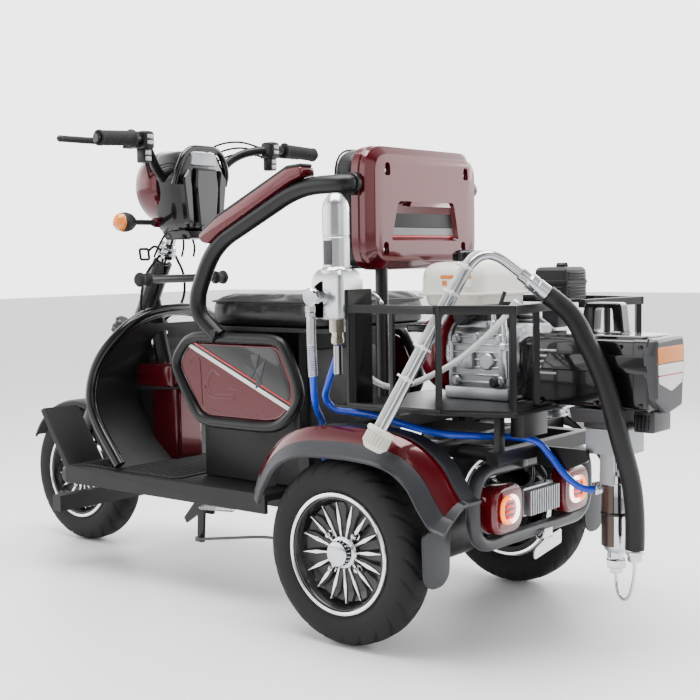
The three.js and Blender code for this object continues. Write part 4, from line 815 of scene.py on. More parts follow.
# ------------------------------------------------------------------ seat cushion
# A thick bench of foam under black vinyl, pulled tight over a plywood base, with a piped seam round its
# upper edge.
vinyl = coating("seat_vinyl", (0.006, 0.006, 0.0063), 0.36, grain=620, relief=0.3, drift=0.16, clear=0.05)
CLOTH_FRAMES = 20


def puffed(piece, board_end, axis, cap):
    """Foam under a skin: remeshed, blown up by cloth pressure while one face stays on its board."""
    applied(piece, "REMESH", mode="VOXEL", voxel_size=0.006)
    count = len(piece.data.vertices)
    still = np.zeros(count * 3)
    piece.data.vertices.foreach_get("co", still)
    still = still.reshape(-1, 3)
    held = piece.vertex_groups.new(name="board")
    held.add([int(i) for i in np.nonzero(still[:, axis] <= board_end)[0]], 1.0, "REPLACE")
    only(piece)
    cloth = piece.modifiers.new("Cloth", "CLOTH")
    cloth.settings.quality = 4
    cloth.settings.mass = 0.4
    cloth.settings.tension_stiffness = 40
    cloth.settings.compression_stiffness = 40
    cloth.settings.bending_stiffness = 14
    cloth.settings.use_pressure = True
    cloth.settings.uniform_pressure_force = 4
    cloth.settings.vertex_group_mass = "board"
    cloth.settings.effector_weights.gravity = 0
    cloth.point_cache.frame_start = 1
    cloth.point_cache.frame_end = CLOTH_FRAMES
    for step in range(1, CLOTH_FRAMES + 1):
        bpy.context.scene.frame_set(step)
    bpy.ops.object.modifier_apply(modifier=cloth.name)
    bpy.context.scene.frame_set(1)
    moved = np.zeros(count * 3)
    piece.data.vertices.foreach_get("co", moved)
    change = moved.reshape(-1, 3) - still
    length = np.linalg.norm(change, axis=1, keepdims=True)
    change *= np.minimum(1, cap / np.maximum(length, 1e-9))
    piece.data.vertices.foreach_set("co", (still + change).ravel())
    piece.data.update()
    applied(piece, "SUBSURF", levels=1, render_levels=1)
    only(piece)
    bpy.ops.object.shade_smooth()
    return piece


BENCH = [(146, -179), (520, -179), (520, 179), (146, 179)]
cushion = layered(BENCH, "xy", 50,
                  [(612.5, 8), (617, 3), (627, 1), (655, 1), (667, 4), (674, 11), (677, 24)])
cushion = puffed(cushion, cad_box[0].z + 0.622, 2, 0.007)
fitted(cushion, "seat_cushion_cover", "seat", vinyl, "seat_vinyl", "seat_cushion")
piping = pipe([(p[0], p[1], 667) for p in corners_rounded(shrunk(BENCH, -0.5), 50, 6)], 2.4, 0, True)
fitted(piping, "seat_cushion_piping", "seat", vinyl, "seat_vinyl")

# ------------------------------------------------------------------ backrest
# A padded board behind the rider in a deep maroon shell. The shell's rear face stands proud, has a
# screw in a pocket at each corner and a sunk band across it.
BACK = [(-198, 735), (198, 735), (198, 990), (-198, 990)]
shell = layered(BACK, "yz", 60, [(72, 3), (69, 0), (52, 0), (49, 3), (46, 3), (43, 0.5), (35, 1.5),
                                 (26, 12), (22.5, 17), (21, 18.5), (20, 24)], 8)
band = layered([(-112, 798), (124, 798), (101, 874), (-94, 874)], "yz", 7,
               [(10, -5), (18, -4), (30, 2), (31.5, 5)])
SCREWS = ((139, 941), (-143, 941), (146, 779), (-132, 779))
pockets = []
for y, z in SCREWS:
    pockets.append(layered([(y - 9, z - 12), (y + 9, z - 12), (y + 7, z + 13), (y - 7, z + 13)], "yz", 6,
                           [(8, -2), (19, -1), (30, 1.5)]))
screws = [screw(28, y, z - 2, (-1, 0, 0), 5.5) for y, z in SCREWS]
shell = less(shell, band, *pockets)
fitted(shell, "backrest_back", "chassis", maroon, "maroon_gloss", "backrest_shell")
slot_bar = plate([(-84, 866), (66, 866), (58, 877), (-74, 877)], "yz", 18.5, 28, 2, 1)
fitted(slot_bar, "backrest_grip", "chassis", maroon, "maroon_gloss")
fitted(joined(*screws), "backrest_screws", "chassis", bright_chrome, "chrome")
band_grey = coating("mid_grey_film", (0.19, 0.19, 0.2), 0.35, relief=0.02)
BAND_PARTS = (
    ("dark", 29.4, 2, 0.5, grey_plastic, "grey_satin", [(-103, 823), (114, 823), (105, 852), (-97, 852)]),
    ("grey", 29.2, 1, 0.5, band_grey, "grey_satin", [(-107, 807), (119, 807), (114.5, 822), (-103.5, 822)]),
    ("red", 28.8, 0, 0.4, red_film, "maroon_gloss", [(-108, 802), (120, 802), (119, 806.5), (-107, 806.5)]))
for word, near, corner, edge, look, slot, outline in BAND_PARTS:
    fitted(plate(outline, "yz", near, 31.5, corner, edge), "backrest_band_" + word, "chassis", look, slot)
CUSHIONED = shrunk(BACK, 5)
pad = layered(CUSHIONED, "yz", 57, [(72.5, 2), (80, 0), (108, 0), (120, 5), (125, 14)], 7)
pad = puffed(pad, AXLE.x + 0.084, 0, 0.007)
fitted(pad, "backrest_cover", "chassis", vinyl, "seat_vinyl", "backrest_pad")
line = pipe([(115, p[0], p[1]) for p in corners_rounded(CUSHIONED, 57, 6)], 2.2, 0, True)
fitted(line, "backrest_piping", "chassis", vinyl, "seat_vinyl")

# ------------------------------------------------------------------ floor and leg shield
# A moulded floor tray with a ribbed rubber mat and two ribbed foot ramps; a dished inner panel inside a
# bent guard tube with a second thin lip, and a glossy maroon glove box down its middle.
black_plastic = coating("black_plastic", (0.007, 0.007, 0.0078), 0.5, grain=900, relief=0.16, drift=0.14)
mat_rubber = coating("mat_rubber", (0.011, 0.011, 0.0115), 0.7, grain=500, relief=0.25)
SHIELD_SIDE = [(774, 271), (860, 380), (880, 445), (862, 530), (820, 608), (806, 638)]
SHIELD_HALF = [230, 235, 230, 212, 150, 72]

dressed_as("floorboard", "floor_tray", black_plastic, edge=2)
mat = layered([(575, -168), (925, -168), (925, 232), (575, 232)], "xy", 20,
              [(257, 0), (259.4, 0), (260.2, 1)])
ribs = [block(590 + 16 * k, 595 + 16 * k, -155, 220, 259, 262.2, 1, 1) for k in range(21)]
fitted(joined(mat, *ribs), "floor_mat", "chassis", mat_rubber, "black_plastic")
treads = [block(969 + 8.2 * k, 976 + 8.2 * k, *span, 266 + 12.4 * k, 273 + 12.4 * k, 1, 1)
          for span in ((148, 244), (-244, -148)) for k in range(9)]
fitted(joined(*treads), "ramp_treads", "chassis", grey_plastic, "black_plastic")

left = [(x, h, z) for (x, z), h in zip(SHIELD_SIDE, SHIELD_HALF)]
inside = [(x + 14, h - 15, z + (2 if z < 600 else -12)) for x, h, z in left]
outer, inner = [pipe(run + [(x, -y, z) for x, y, z in reversed(run)], radius, 80, False, 10)
                for run, radius in ((left, 14), (inside, 6))]
guard_gloss = coating("guard_gloss", (0.004, 0.004, 0.0045), 0.2, clear=0.6)
fitted(joined(outer, inner), "shield_tube", "chassis", guard_gloss, "black_paint", "shield_guard")
dressed_as("leg_shield", "inner_panel", black_plastic, edge=1.5)
box_low = block(770, 866, -44, 44, 258, 446, 9, 4)
box_high = block(764, 900, -63, 63, 440, 502, 10, 4)
lid = layered([(-54, 448), (54, 448), (54, 494), (-54, 494)], "yz", 8, [(766, 0), (762, 0.8), (760.5, 3)])
door = layered([(-36, 270), (36, 270), (36, 432), (-36, 432)], "yz", 8, [(772, 0), (768.5, 0.8), (767, 3)])
fitted(joined(box_low, box_high, lid, door), "glove_box", "chassis", maroon, "maroon_gloss")
fitted(lathe([(0, 3), (7, 3), (8, 1.5), (8, -3), (0, -3)], spot(760, 0, 480), (-1, 0, 0), 24),
       "glove_box_lock", "chassis", bright_chrome, "chrome")

# ------------------------------------------------------------------ seat box and running gear
# A black moulded battery box under the seat; under the floor the brake rod and its return spring, and a
# coil spring with a damper over each end of the axle.
dressed_as("seat_box", "battery_box", black_plastic, edge=2.5)
recess = layered([(-120, 290), (120, 290), (120, 560), (-120, 560)], "yz", 16,
                 [(262, 0), (258.5, 1), (257.5, 4)])
vents = [block(556, 563, -90, 90, 330 + 22 * k, 338 + 22 * k, 1.5) for k in range(6)]
fitted(joined(recess, *vents), "battery_box_door", "chassis", grey_plastic, "black_plastic")


def coil(foot, top, radius, wire, turns):
    """A wound spring between two places."""
    start, end = Vector(foot), Vector(top)
    turn = (end - start).to_track_quat("Z", "Y")
    line = []
    for k in range(turns * 16 + 1):
        t = k / (turns * 16)
        way = 2 * math.pi * turns * t
        line.append(start + turn @ Vector((radius * math.cos(way), radius * math.sin(way),
                                           (end - start).length * t)))
    return pipe(line, wire, 0)


springs, dampers = [], []
for y in (195, -195):
    springs.append(coil((0, y, 222), (0, y, 358), 24, 4.6, 6))
    dampers.append(lathe([(0, -30), (30, -30), (30, -26), (9, -26), (9, 60), (6, 62), (6, 104), (28, 104),
                          (28, 110), (0, 110)], spot(0, y, 250), Z_AXIS, 24))
fitted(joined(*springs), "axle_springs", "chassis", bright_chrome, "chrome")
fitted(joined(*dampers), "axle_dampers", "chassis", black_enamel, "black_paint")
rod_run = pipe([(552, 186, 112), (330, 200, 150), (190, 214, 158), (60, 222, 172)], 3.2, 40)
clevis = block(540, 562, 181, 190, 106, 118, 2)
fitted(joined(rod_run, clevis), "brake_rod", "chassis", grey_satin, "brushed_steel")
fitted(coil((440, 182, 196), (545, 182, 190), 7, 1.5, 14), "brake_return_spring", "chassis", bright_chrome,
       "brushed_steel")

# ------------------------------------------------------------------ fork and front mudguard
# A telescopic fork with plated stanchions, black sliders, a welded crown and a ring nut stack at the
# head, over a short black mudguard.
RAKE = math.radians(29)
UP = Vector((-math.sin(RAKE), 0, math.cos(RAKE)))
HEAD_X, HEAD_Z = 848, 775
FRONT_X, FRONT_Z = 1178, 185


def on_steer(along, side=0.0):
    """A place on the steering axis, so far above the top of the head tube and so far to the left."""
    return tuple(Vector((HEAD_X, side, HEAD_Z)) + UP * along)


def steer_turned(profile, along, side=0.0, steps=36):
    return lathe(profile, spot(*on_steer(along, side)), UP, steps)


stanchions = [pipe([on_steer(-194, y), on_steer(-427, y)], 15) for y in (66, -66)]
stem = steer_turned([(0, 0), (14, 0), (14, 262), (0, 262)], -204)
nuts = [steer_turned([(14, 0), (25, 0), (26.5, 2), (26.5, 9), (25, 11), (14, 11)], -3, 0, 8),
        steer_turned([(14, 0), (23, 0), (24, 2), (24, 8), (23, 10), (14, 10)], 12, 0, 12),
        steer_turned([(14, 0), (20, 0), (21, 3), (17, 8), (14, 9)], 26)]
axle = pipe([(FRONT_X, -76, FRONT_Z), (FRONT_X, 76, FRONT_Z)], 8.5)
fitted(joined(*stanchions, stem, *nuts, axle), "fork_plated", "steering", bright_chrome, "chrome", "fork")
crown = block(-17, 17, -84, 84, -12, 12, 5, 3)
crown.data.transform(Matrix.Translation(-AXLE))
crown.data.transform(Matrix.Translation(spot(*on_steer(-217.5))) @ Matrix.Rotation(-RAKE, 4, "Y"))
sliders = []
for y in (66, -66):
    sliders.append(steer_turned([(0, 0), (16, 0), (19, 6), (19, 236), (21, 240), (21, 252), (17, 258),
                                 (15.2, 259), (0, 259)], -672, y))
    sliders.append(lathe([(0, 12), (20, 12), (24, 9), (24, -9), (20, -12), (0, -12)],
                         spot(FRONT_X, y, FRONT_Z), Y_AXIS, 32))
    sliders.append(steer_turned([(0, 0), (19, 0), (20, 4), (20, 16), (15.2, 20), (0, 20)], -206, y))
race = steer_turned([(17, 0), (27, 0), (28, 4), (28, 14), (24, 18), (17, 18)], -204)
fitted(joined(crown, *sliders, race), "fork_painted", "steering", black_enamel, "black_paint")
front_stations = [np.array((FRONT_X + 195 * math.cos(a), FRONT_Z + 195 * math.sin(a)))
                  for a in np.radians(np.linspace(28, 160, 37))]
mud = swept(front_stations, [(-50, -8), (-50, -1), (-46, 3), (-34, 6), (34, 6), (46, 3), (50, -1),
                             (50, -8), (47, -8), (45, -1), (32, 2), (-32, 2), (-45, -1), (-47, -8)])
fitted(mud, "front_mudguard", "steering", black_plastic, "black_plastic", "front_fender")

# ------------------------------------------------------------------ handlebar, grips and levers
# One bent tube in black paint with ribbed rubber grips, a switch pod and a lever perch on each side and
# long round brake levers on a pin.
grip_rubber = coating("grip_rubber", (0.01, 0.01, 0.0105), 0.66, grain=800, relief=0.25)
light_grey = coating("light_grey_buttons", (0.42, 0.42, 0.44), 0.4, relief=0.05)
amber = coating("amber_lens", (0.85, 0.22, 0.01), 0.1, relief=0.0, clear=1.0)
key_grey = coating("key_bow_grey", (0.06, 0.06, 0.065), 0.4, grain=900, relief=0.08)
BAR = [(656, 368, 1035), (671, 212, 1044), (735, 150, 1030), (762, 92, 968), (756, 40, 943)]
bar_tube = pipe(BAR + [(x, -y, z) for x, y, z in reversed(BAR)], 11, 42, False, 10)
clamp = [block(738, 774, -34, 34, 926, 962, 6, 3),
         steer_turned([(0, 0), (15, 0), (17, 4), (17, 120), (15, 124), (0, 124)], 66)]
perches, buttons = [], []
for s in (1, -1):
    def span(a, b):
        return min(s * a, s * b), max(s * a, s * b)

    perches += [block(654, 694, *span(197, 231), 1019, 1061, 8, 4),
                block(662, 690, *span(202, 226), 988, 1022, 4, 3),
                block(690, 716, *span(218, 246), 1021.5, 1028.5, 3, 3),
                block(668, 694, *span(228, 246), 1022, 1058, 5, 3),
                lathe([(0, 17), (5, 17), (6, 15), (4, 14), (4, -3), (0, -3)], spot(706, s * 236, 1032),
                      Z_AXIS, 16)]
    buttons += [block(x0, x1, *span(206, 222), z0, z1, 1.5) for x0, x1, z0, z1 in (
        (659, 664, 992, 1002), (659, 664, 1006, 1016), (650.5, 656, 1030, 1038), (650.5, 656, 1043, 1052))]
fitted(joined(bar_tube, *clamp, *perches), "bar_tube", "steering", black_coat, "black_paint", "handlebar")
fitted(joined(*buttons), "switch_buttons", "steering", light_grey, "black_plastic")

ribbed = [(12, 10), (19, 10), (20.5, 11.5), (20.5, 15), (18, 18)]
for k in range(15):
    h = 21 + 6 * k
    ribbed += [(16.2, h), (17, h + 1), (17, h + 4), (16.2, h + 5)]
ribbed += [(17, 111), (18, 112.5), (18, 117), (16.5, 119), (12, 119), (12, 10)]
GRIP_WAY = Vector((-12, 122, -7)).normalized()
left_grip = lathe(ribbed, spot(668, 246, 1042), GRIP_WAY, 40)
right_grip = copied(left_grip, ACROSS)
fitted(left_grip, "grip_cover_left", "steering", grip_rubber, "grip_rubber", "grip_left")
fitted(right_grip, "grip_cover_right", "throttle", grip_rubber, "grip_rubber", "throttle_grip")
ends = [lathe([(0, 4), (9, 4), (11, 2.5), (11, -1), (0, -1)], spot(656, s * 368, 1035), (0, s, 0), 24)
        for s in (1, -1)]
fitted(joined(*ends), "bar_end_caps", "steering", black_enamel, "black_plastic")

BLADE = [(-9, -8), (10, -8), (38, 26), (46, 94), (46, 166), (36, 166), (32, 96), (22, 36), (0, 10),
         (-9, 10)]
blade = layered([(706 + x, 236 + y) for x, y in BLADE], "xy", 8,
                [(1030.3, 3.4), (1032, 1.2), (1035, 0), (1040, 0), (1043, 1.2), (1044.7, 3.4)])
ball = lathe([(0, 8), (4, 7), (7, 3.6), (8, 0), (7, -3.6), (4, -7), (0, -8)], spot(747, 398, 1037.5),
             Y_AXIS, 20)
hole = lathe([(0, -20), (4.9, -20), (4.9, 30), (0, 30), (0, -20)], spot(706, 236, 1032), Z_AXIS, 20)
lever = joined(less(blade, hole), ball)
other = copied(lever, ACROSS)
fitted(lever, "lever_left", "brake_lever_l", grey_plastic, "black_plastic", "brake_lever_left")
fitted(other, "lever_right", "brake_lever_r", grey_plastic, "black_plastic", "brake_lever_right")

cables = []
for s in (1, -1):
    for k in range(3):
        cables.append(pipe([(700, s * (214 - 3 * k), 1046 - 10 * k), (744, s * 168, 1068 - 15 * k),
                            (790, s * 110, 1052 - 22 * k), (806, s * 78, 996 - 26 * k),
                            (802, s * 52, 940)], 2.6, 90, False, 12))
for y in (22, -14, -30):
    cables.append(pipe([(800, y, 850), (812, y * 2.4, 800), (826, y * 2.6, 770)], 2.8, 40))
fitted(joined(*cables), "control_cables", "steering", grip_rubber, "gloss_black")
looms = [pipe([(842, 26, 772), (858, 62, 726), (862, 74, 668), (884, 52, 622), (900, 20, 600)], 3.4, 50),
         pipe([(838, -26, 772), (846, -66, 720), (858, -70, 650), (890, -40, 610), (902, -12, 596)], 3.4,
              50), pipe([(836, 20, 764), (820, 40, 700), (842, 48, 640), (880, 30, 606)], 2.6, 50)]
fitted(joined(*looms), "frame_looms", "chassis", grip_rubber, "gloss_black")
rests = [lathe([(10.6, -2), (16, 0), (17, 4), (14.5, 8), (14.5, 22), (17.5, 26), (18, 32), (14, 37),
                (0, 38), (0, -2)], spot(785, s * 112, 715), (0, s, 0), 32) for s in (1, -1)]
fitted(joined(*rests), "grab_bar_ends", "chassis", grip_rubber, "grip_rubber")
hook = pipe([(836, 96, 790), (836, 68, 790), (832, 68, 764), (832, 96, 764)], 3.2, 5, True)
arm_wire = pipe([(840, 20, 786), (838, 44, 800), (836, 68, 784)], 3.2, 14)
fitted(joined(hook, arm_wire), "bag_hook", "chassis", black_coat, "black_paint")

# ------------------------------------------------------------------ instrument nacelle and lamps
# A gloss black nacelle with a hood over a sloped clear display and a raised middle panel, a round
# headlamp in a maroon shell in front, and stalked amber turn signals.
HEADLAMP = (800, 0, 945)
FACE = [(-64, 830), (64, 830), (84, 978), (58, 1030), (-58, 1030), (-84, 978)]
nacelle = layered(FACE, "yz", 22, [(800, 3), (790, 0), (744, 0), (716, 3), (706, 9), (702, 18)], 6)
cheeks = [layered([(s * 40, 850), (s * 60, 846), (s * 74, 960), (s * 52, 988), (s * 44, 940)], "yz", 8,
                  [(710, 0), (697, 1), (693, 4)]) for s in (1, -1)]
ridge = layered([(-30, 836), (30, 836), (40, 940), (36, 986), (-36, 986), (-40, 940)], "yz", 8,
                [(708, -2), (698, 0), (690, 2), (687, 7)])
hood = pipe([(716, -85, 946), (704, -84, 980), (700, -56, 1034), (700, 56, 1034), (704, 84, 980),
             (716, 85, 946)], 8, 34)
chin = layered([(-44, 812), (44, 812), (56, 836), (-56, 836)], "yz", 6,
               [(798, 2), (796, 0), (716, 0), (708, 4)])
lock = lathe([(0, 0), (11, 0), (12, -3), (12, -36), (0, -36)], spot(758, -92, 928), (0, -1, 0), 28)
fitted(joined(nacelle, *cheeks, ridge, hood, chin, lock), "nacelle", "steering", dark_gloss, "gloss_black",
       "headlamp_housing")
display = layered([(-45, 992), (45, 992), (40, 1022), (-40, 1022)], "yz", 8,
                  [(706, 0), (698, 0.5), (696.6, 2)])
display_grey = coating("display_window", (0.36, 0.38, 0.4), 0.1, relief=0.0, clear=1.0, drift=0.35,
                       patch=20)
fitted(display, "display_window", "steering", display_grey, "tube_clear")
SHELL = [(0, -20), (70, -20), (84, -18), (89, -6), (91, 14), (91, 30), (88, 52), (84, 58), (78, 60),
         (74, 56), (0, 56)]
fitted(lathe(SHELL, spot(*HEADLAMP), X_AXIS, 72), "headlamp_shell", "steering", maroon, "maroon_gloss")
bezel = lathe([(72, 54), (78, 60), (77, 64), (73, 66), (70, 62), (70, 54), (72, 54)], spot(*HEADLAMP),
              X_AXIS, 72)
bowl = lathe([(0, 57), (30, 57.5), (60, 60), (70, 64), (70, 56), (0, 56)], spot(*HEADLAMP), X_AXIS, 48)
fitted(joined(bezel, bowl), "headlamp_bezel", "steering", bright_chrome, "chrome")
glass = lathe([(0, 74), (24, 73), (48, 69), (66, 63), (70, 60), (0, 60)], spot(*HEADLAMP), X_AXIS, 48)
lens = coating("headlamp_glass", (0.75, 0.8, 0.85), 0.04, relief=0.0, clear=1.0)
lens.node_tree.nodes["Principled BSDF"].inputs["Transmission Weight"].default_value = 0.6
fitted(glass, "headlamp_glass", "steering", lens, "tube_clear")
for s, side in ((1, "left"), (-1, "right")):
    way = (0, s, 0)
    pod = lathe([(0, 0), (8, 0), (8, 3), (6.5, 5), (6.5, 58), (9, 62), (15, 67), (21, 76), (24, 88),
                 (24, 96), (22.4, 104), (0, 104)], spot(800, s * 80.3, 855), way, 32)
    fitted(pod, f"signal_pod_{side}", "steering", grey_plastic, "grey_satin", f"turn_signal_{side}")
    fitted(lathe([(0, 104), (22.4, 104), (20, 111), (14, 118.5), (7, 122.5), (0, 124)],
                 spot(800, s * 80.3, 855), way, 32), f"signal_lens_{side}", "steering", amber, "lamp_red")
    fitted(lathe([(0, -30), (12, -30), (12, -4), (10, 0), (0, 0)], spot(800, s * 80, 855), way, 24),
           f"signal_collar_{side}", "steering", maroon, "maroon_gloss")
bow = layered([(-126, 917), (-103, 917), (-103, 939), (-126, 939)], "yz", 8,
              [(755.6, 1), (757, 0), (759, 0), (760.4, 1)])
fitted(bow, "key_bow", "key", key_grey, "black_plastic", "ignition_key")
fitted(block(757, 759, -104, -80.5, 923, 933, 0.6), "key_blade", "key", bright_chrome, "chrome")

# ------------------------------------------------------------------ engine
# A small single cylinder petrol engine: grey ribbed castings, a round machined flange, a sloping finned
# barrel, a deep red pressed recoil cover with its T-handle, an ivory tank and a box air cleaner.
machined = coating("machined_alloy", (0.62, 0.63, 0.65), 0.24, metal=0.95, grain=900, relief=0.05)
recoil_red = coating("recoil_red", (0.2, 0.002, 0.01), 0.24, metal=0.1, grain=1500, relief=0.03, clear=0.7)
ivory = coating("tank_ivory", (0.74, 0.72, 0.64), 0.3, relief=0.02, clear=0.5, drift=0.03)


CRANK_Y, CRANK_Z = 10, 566


def bolt(x, y, z, axis, across=6.0, tall=5.0):
    """A hexagon head on its washer."""
    return lathe([(0, tall), (across * 0.9, tall), (across, tall - 1), (across, 1), (across * 1.35, 1),
                  (across * 1.35, 0), (0, 0)], spot(x, y, z), axis, 6, 20)


case = [layered([(-80, 496), (92, 496), (92, 606), (70, 622), (-80, 622)], "yz", 12,
                [(-236, 4), (-232, 0), (-96, 0), (-92, 4)]), block(-240, -88, -85, 98, 474.4, 500, 4)]
for k in range(7):
    z = 508 + 15 * k
    case.append(block(-228, -100, 88, 98 if z < 600 else 84, z, z + 4, 1.2, 1))
case += [block(x - 4, x + 4, 86, 99, 502, 606, 1.5) for x in (-222, -106)]
for x, z in ((-222, 514), (-222, 598), (-168, 600), (-118, 512), (-118, 596)):
    case.append(lathe([(0, 6), (8, 6), (10, 4), (11, -8), (0, -8)], spot(x, 96, z), Y_AXIS, 24))
    case.append(bolt(x, 102, z, Y_AXIS, 5.5, 4))
case += [lathe([(0, 8), (14, 8), (17, 5), (18, -6), (0, -6)], spot(-190, 94, 552), Y_AXIS, 32),
         block(-160, -136, 92, 104, 536, 570, 4), block(-176, -100, -50, 74, 612, 632, 5)]
fitted(joined(*case), "crankcase", "chassis", cast_alloy, "cast_alloy", "engine_block")
flange = lathe([(40, 0), (80, 0), (84, 3), (84, 7), (80, 9), (80, 13), (74, 16), (74, 18), (40, 18),
                (40, 0)], spot(-100, CRANK_Y, CRANK_Z), X_AXIS, 64)
rear_flange = lathe([(0, 0), (54, 0), (58, 3), (58, 12), (54, 16), (0, 16)], spot(-246, CRANK_Y, CRANK_Z),
                    X_AXIS, 48)
edge_bolts = []
for k in range(8):
    way = math.radians(22 + 45 * k)
    y, z = CRANK_Y + 77 * math.cos(way), CRANK_Z + 77 * math.sin(way)
    edge_bolts.append(lathe([(0, 3), (6, 3), (7, 0), (7, -8), (0, -8)], spot(-100, y, z), (-1, 0, 0), 16))
    edge_bolts.append(bolt(-103, y, z, (-1, 0, 0), 4.5, 4))
pipe_run = [pipe([(-232, 96, 520), (-236, 104, 560), (-236, 104, 610), (-226, 92, 640)], 6, 20),
            lathe([(0, 0), (9, 0), (10, 2), (10, 12), (8, 14), (0, 14)], spot(-236, 104, 576), Z_AXIS, 6),
            lathe([(0, 0), (8, 0), (8, 26), (5, 28), (5, 40), (0, 40)], spot(-206, 96, 606), Z_AXIS, 20)]
fitted(joined(flange, rear_flange, *edge_bolts, *pipe_run), "engine_flanges", "chassis", machined,
       "cast_alloy")
fins = [block(-214, -106, -135, -35, 530 + 11 * k, 534.5 + 11 * k, 1, 1) for k in range(9)]
fins += [block(-204, -116, -125, -45, 528, 628, 4), block(-196, -124, -118, -52, 626, 636, 4),
         bolt(-160, -84, 636, Z_AXIS, 8, 6)]
barrel = joined(*fins)
barrel.data.transform(turned_about(spot(-160, -85, 578), X_AXIS, 25))
fitted(barrel, "cylinder_fins", "chassis", cast_alloy, "cast_alloy")
dark = [block(-172, -92, -48, 70, 628, 659, 5, 3),
        lathe([(0, 0), (10, 0), (11, 2), (11, 9), (7, 12), (0, 12)], spot(-212, 98, 512), Y_AXIS, 12),
        lathe([(0, 0), (16, 0), (18, 3), (18, 30), (13, 34), (0, 34)], spot(-130, 70, 640), Y_AXIS, 24),
        pipe([(-160, 92, 640), (-120, 104, 628), (-104, 96, 590), (-104, 92, 560)], 3, 16),
        pipe([(-200, 60, 630), (-216, 96, 650), (-222, 80, 690)], 4, 16),
        block(-226, -206, 40, 80, 622, 650, 4),
        lathe([(0, 0), (9, 0), (10, 4), (10, 20), (0, 20)], spot(-216, 66, 650), Z_AXIS, 20)]
fitted(joined(*dark), "carburettor_parts", "chassis", grey_plastic, "black_plastic")

cover = lathe([(0, 84), (18, 84), (20, 81), (48, 81), (50, 84), (53, 83), (57, 76), (62, 73), (78, 62),
               (84, 55), (87, 44), (90, 30), (90, 24), (87, 22), (87, 12), (91, 10), (91, 2), (88, 0.3),
               (0, 0.3)], spot(-82, CRANK_Y, CRANK_Z), X_AXIS, 72)
fan_slots = []
for k in range(10):
    way = math.radians(36 * k)
    y, z = CRANK_Y + 36 * math.cos(way), CRANK_Z + 36 * math.sin(way)
    fan_slots.append(lathe([(0, 78), (6, 78), (6, 90), (0, 90), (0, 78)], spot(-82, y, z), X_AXIS, 10))
ears = []
for way in (0.3, 2.3, 4.2):
    y, z = CRANK_Y + 88 * math.cos(way), CRANK_Z + 88 * math.sin(way)
    ears.append(block(-80, -70, y - 9, y + 9, z - 9, z + 9, 3))
spout = lathe([(0, 0), (14, 0), (15, 36), (12, 42), (6, 42), (6, 36), (0, 36)], spot(-48, 60, 616), Y_AXIS,
              24)
fitted(joined(less(cover, *fan_slots), *ears, spout), "recoil_housing", "chassis", recoil_red, "recoil_red",
       "recoil_cover")
pull = pipe([(-78, 121, 616), (-48, 123, 616), (-18, 121, 616)], 8.4, 10)
pull = joined(pull, lathe([(0, 0.4), (7, 0.4), (8, 3), (8, 16), (0, 19)], spot(-48, 102, 616), Y_AXIS, 20),
              *[lathe([(0, 4), (7, 3), (9.5, 0), (7, -3), (0, -4)], spot(x, 121, 616), X_AXIS, 20)
                for x in (-78, -18)])
fitted(pull, "starter_grip", "starter_handle", black_enamel, "gloss_black", "recoil_handle")

FILLER = (-85, 10, 750)
TANK = [(-183, -95), (-32, -95), (-32, 120), (-183, 120)]
tank = layered(TANK, "xy", 45, [(660, 18), (664, 11), (674, 8), (682, 7), (682.4, -7), (683.5, -8),
                                (687, -8), (688, -7), (688.6, -0.5), (692, 0), (720, 0.5), (730, 3),
                                (738, 8), (744, 15), (748, 25), (750, 38)], 10)
neck = lathe([(0, 0), (26, 0), (24, 5), (20, 6), (20, 9), (0, 9)], spot(-85, 10, 748), Z_AXIS, 40)
fitted(joined(tank, neck), "fuel_tank_shell", "chassis", ivory, "tank_ivory", "fuel_tank")
fitted(plate([(-170, 700), (-96, 700), (-96, 724), (-170, 724)], "xz", 119.2, 120.5, 3, 0.3), "tank_label",
       "chassis", white_film, "tank_ivory")
orange_film = coating("orange_film", (0.72, 0.2, 0.02), 0.35, relief=0.02)
fitted(joined(plate([(-170, 716), (-96, 716), (-96, 724), (-170, 724)], "xz", 119.4, 120.9, 2, 0.3),
              plate([(-112, 703), (-100, 703), (-100, 713), (-112, 713)], "xz", 119.4, 120.9, 1, 0.3)),
       "tank_label_band", "chassis", orange_film, "tank_ivory")
cap = lathe([(0, 24), (16, 24), (23, 22.5), (26, 20), (27.4, 17), (27.4, 3), (26, 1), (21.5, 1),
             (21.5, 10), (0, 10), (0, 24)], spot(*FILLER), Z_AXIS, 48)
knurls = ring_of(block(-86.4, -83.6, 36.5, 39.4, 752, 768, 0.8, 1), 20, spot(*FILLER), Z_AXIS)
fitted(joined(cap, *knurls), "tank_cap_cover", "tank_cap", black_enamel, "gloss_black", "fuel_cap")

cleaner = [layered([(-225, -250), (-145, -250), (-145, -155), (-225, -155)], "xy", 10,
                   [(665, 5), (668, 1), (699, 0.5), (700, -1.5), (706, -1.5), (707, 0.5), (728, 2),
                    (733, 6), (735, 11)]),
           lathe([(0, 0), (13, 0), (13, 5), (9, 9), (0, 9)], spot(-190, -200, 735), Z_AXIS, 28),
           block(-203, -177, -202.5, -197.5, 737, 744, 2), block(-206, -166, -196, -153, 606, 668, 4)]
cleaner += [block(-228, -223, -240 + 2, -166, 671 + 6.4 * k, 674 + 6.4 * k, 1, 1) for k in range(4)]
cleaner += [block(-228, -223, -238, -166, 709 + 6 * k, 712 + 6 * k, 1, 1) for k in range(3)]
cleaner += [block(-216, -154, -156, -152.6, 671 + 6.4 * k, 674 + 6.4 * k, 1, 1) for k in range(4)]
fitted(joined(*cleaner), "air_cleaner_box", "chassis", grey_plastic, "black_plastic", "air_cleaner")
can = layered([(-190, 585), (-103, 585), (-103, 682), (-190, 682)], "yz", 24,
              [(-102, 6), (-99, 1), (-94, 0), (-92, -1.5), (-89, -1.5), (-87, 0), (-27, 0), (-17, 2),
               (-14, 7)], 8)
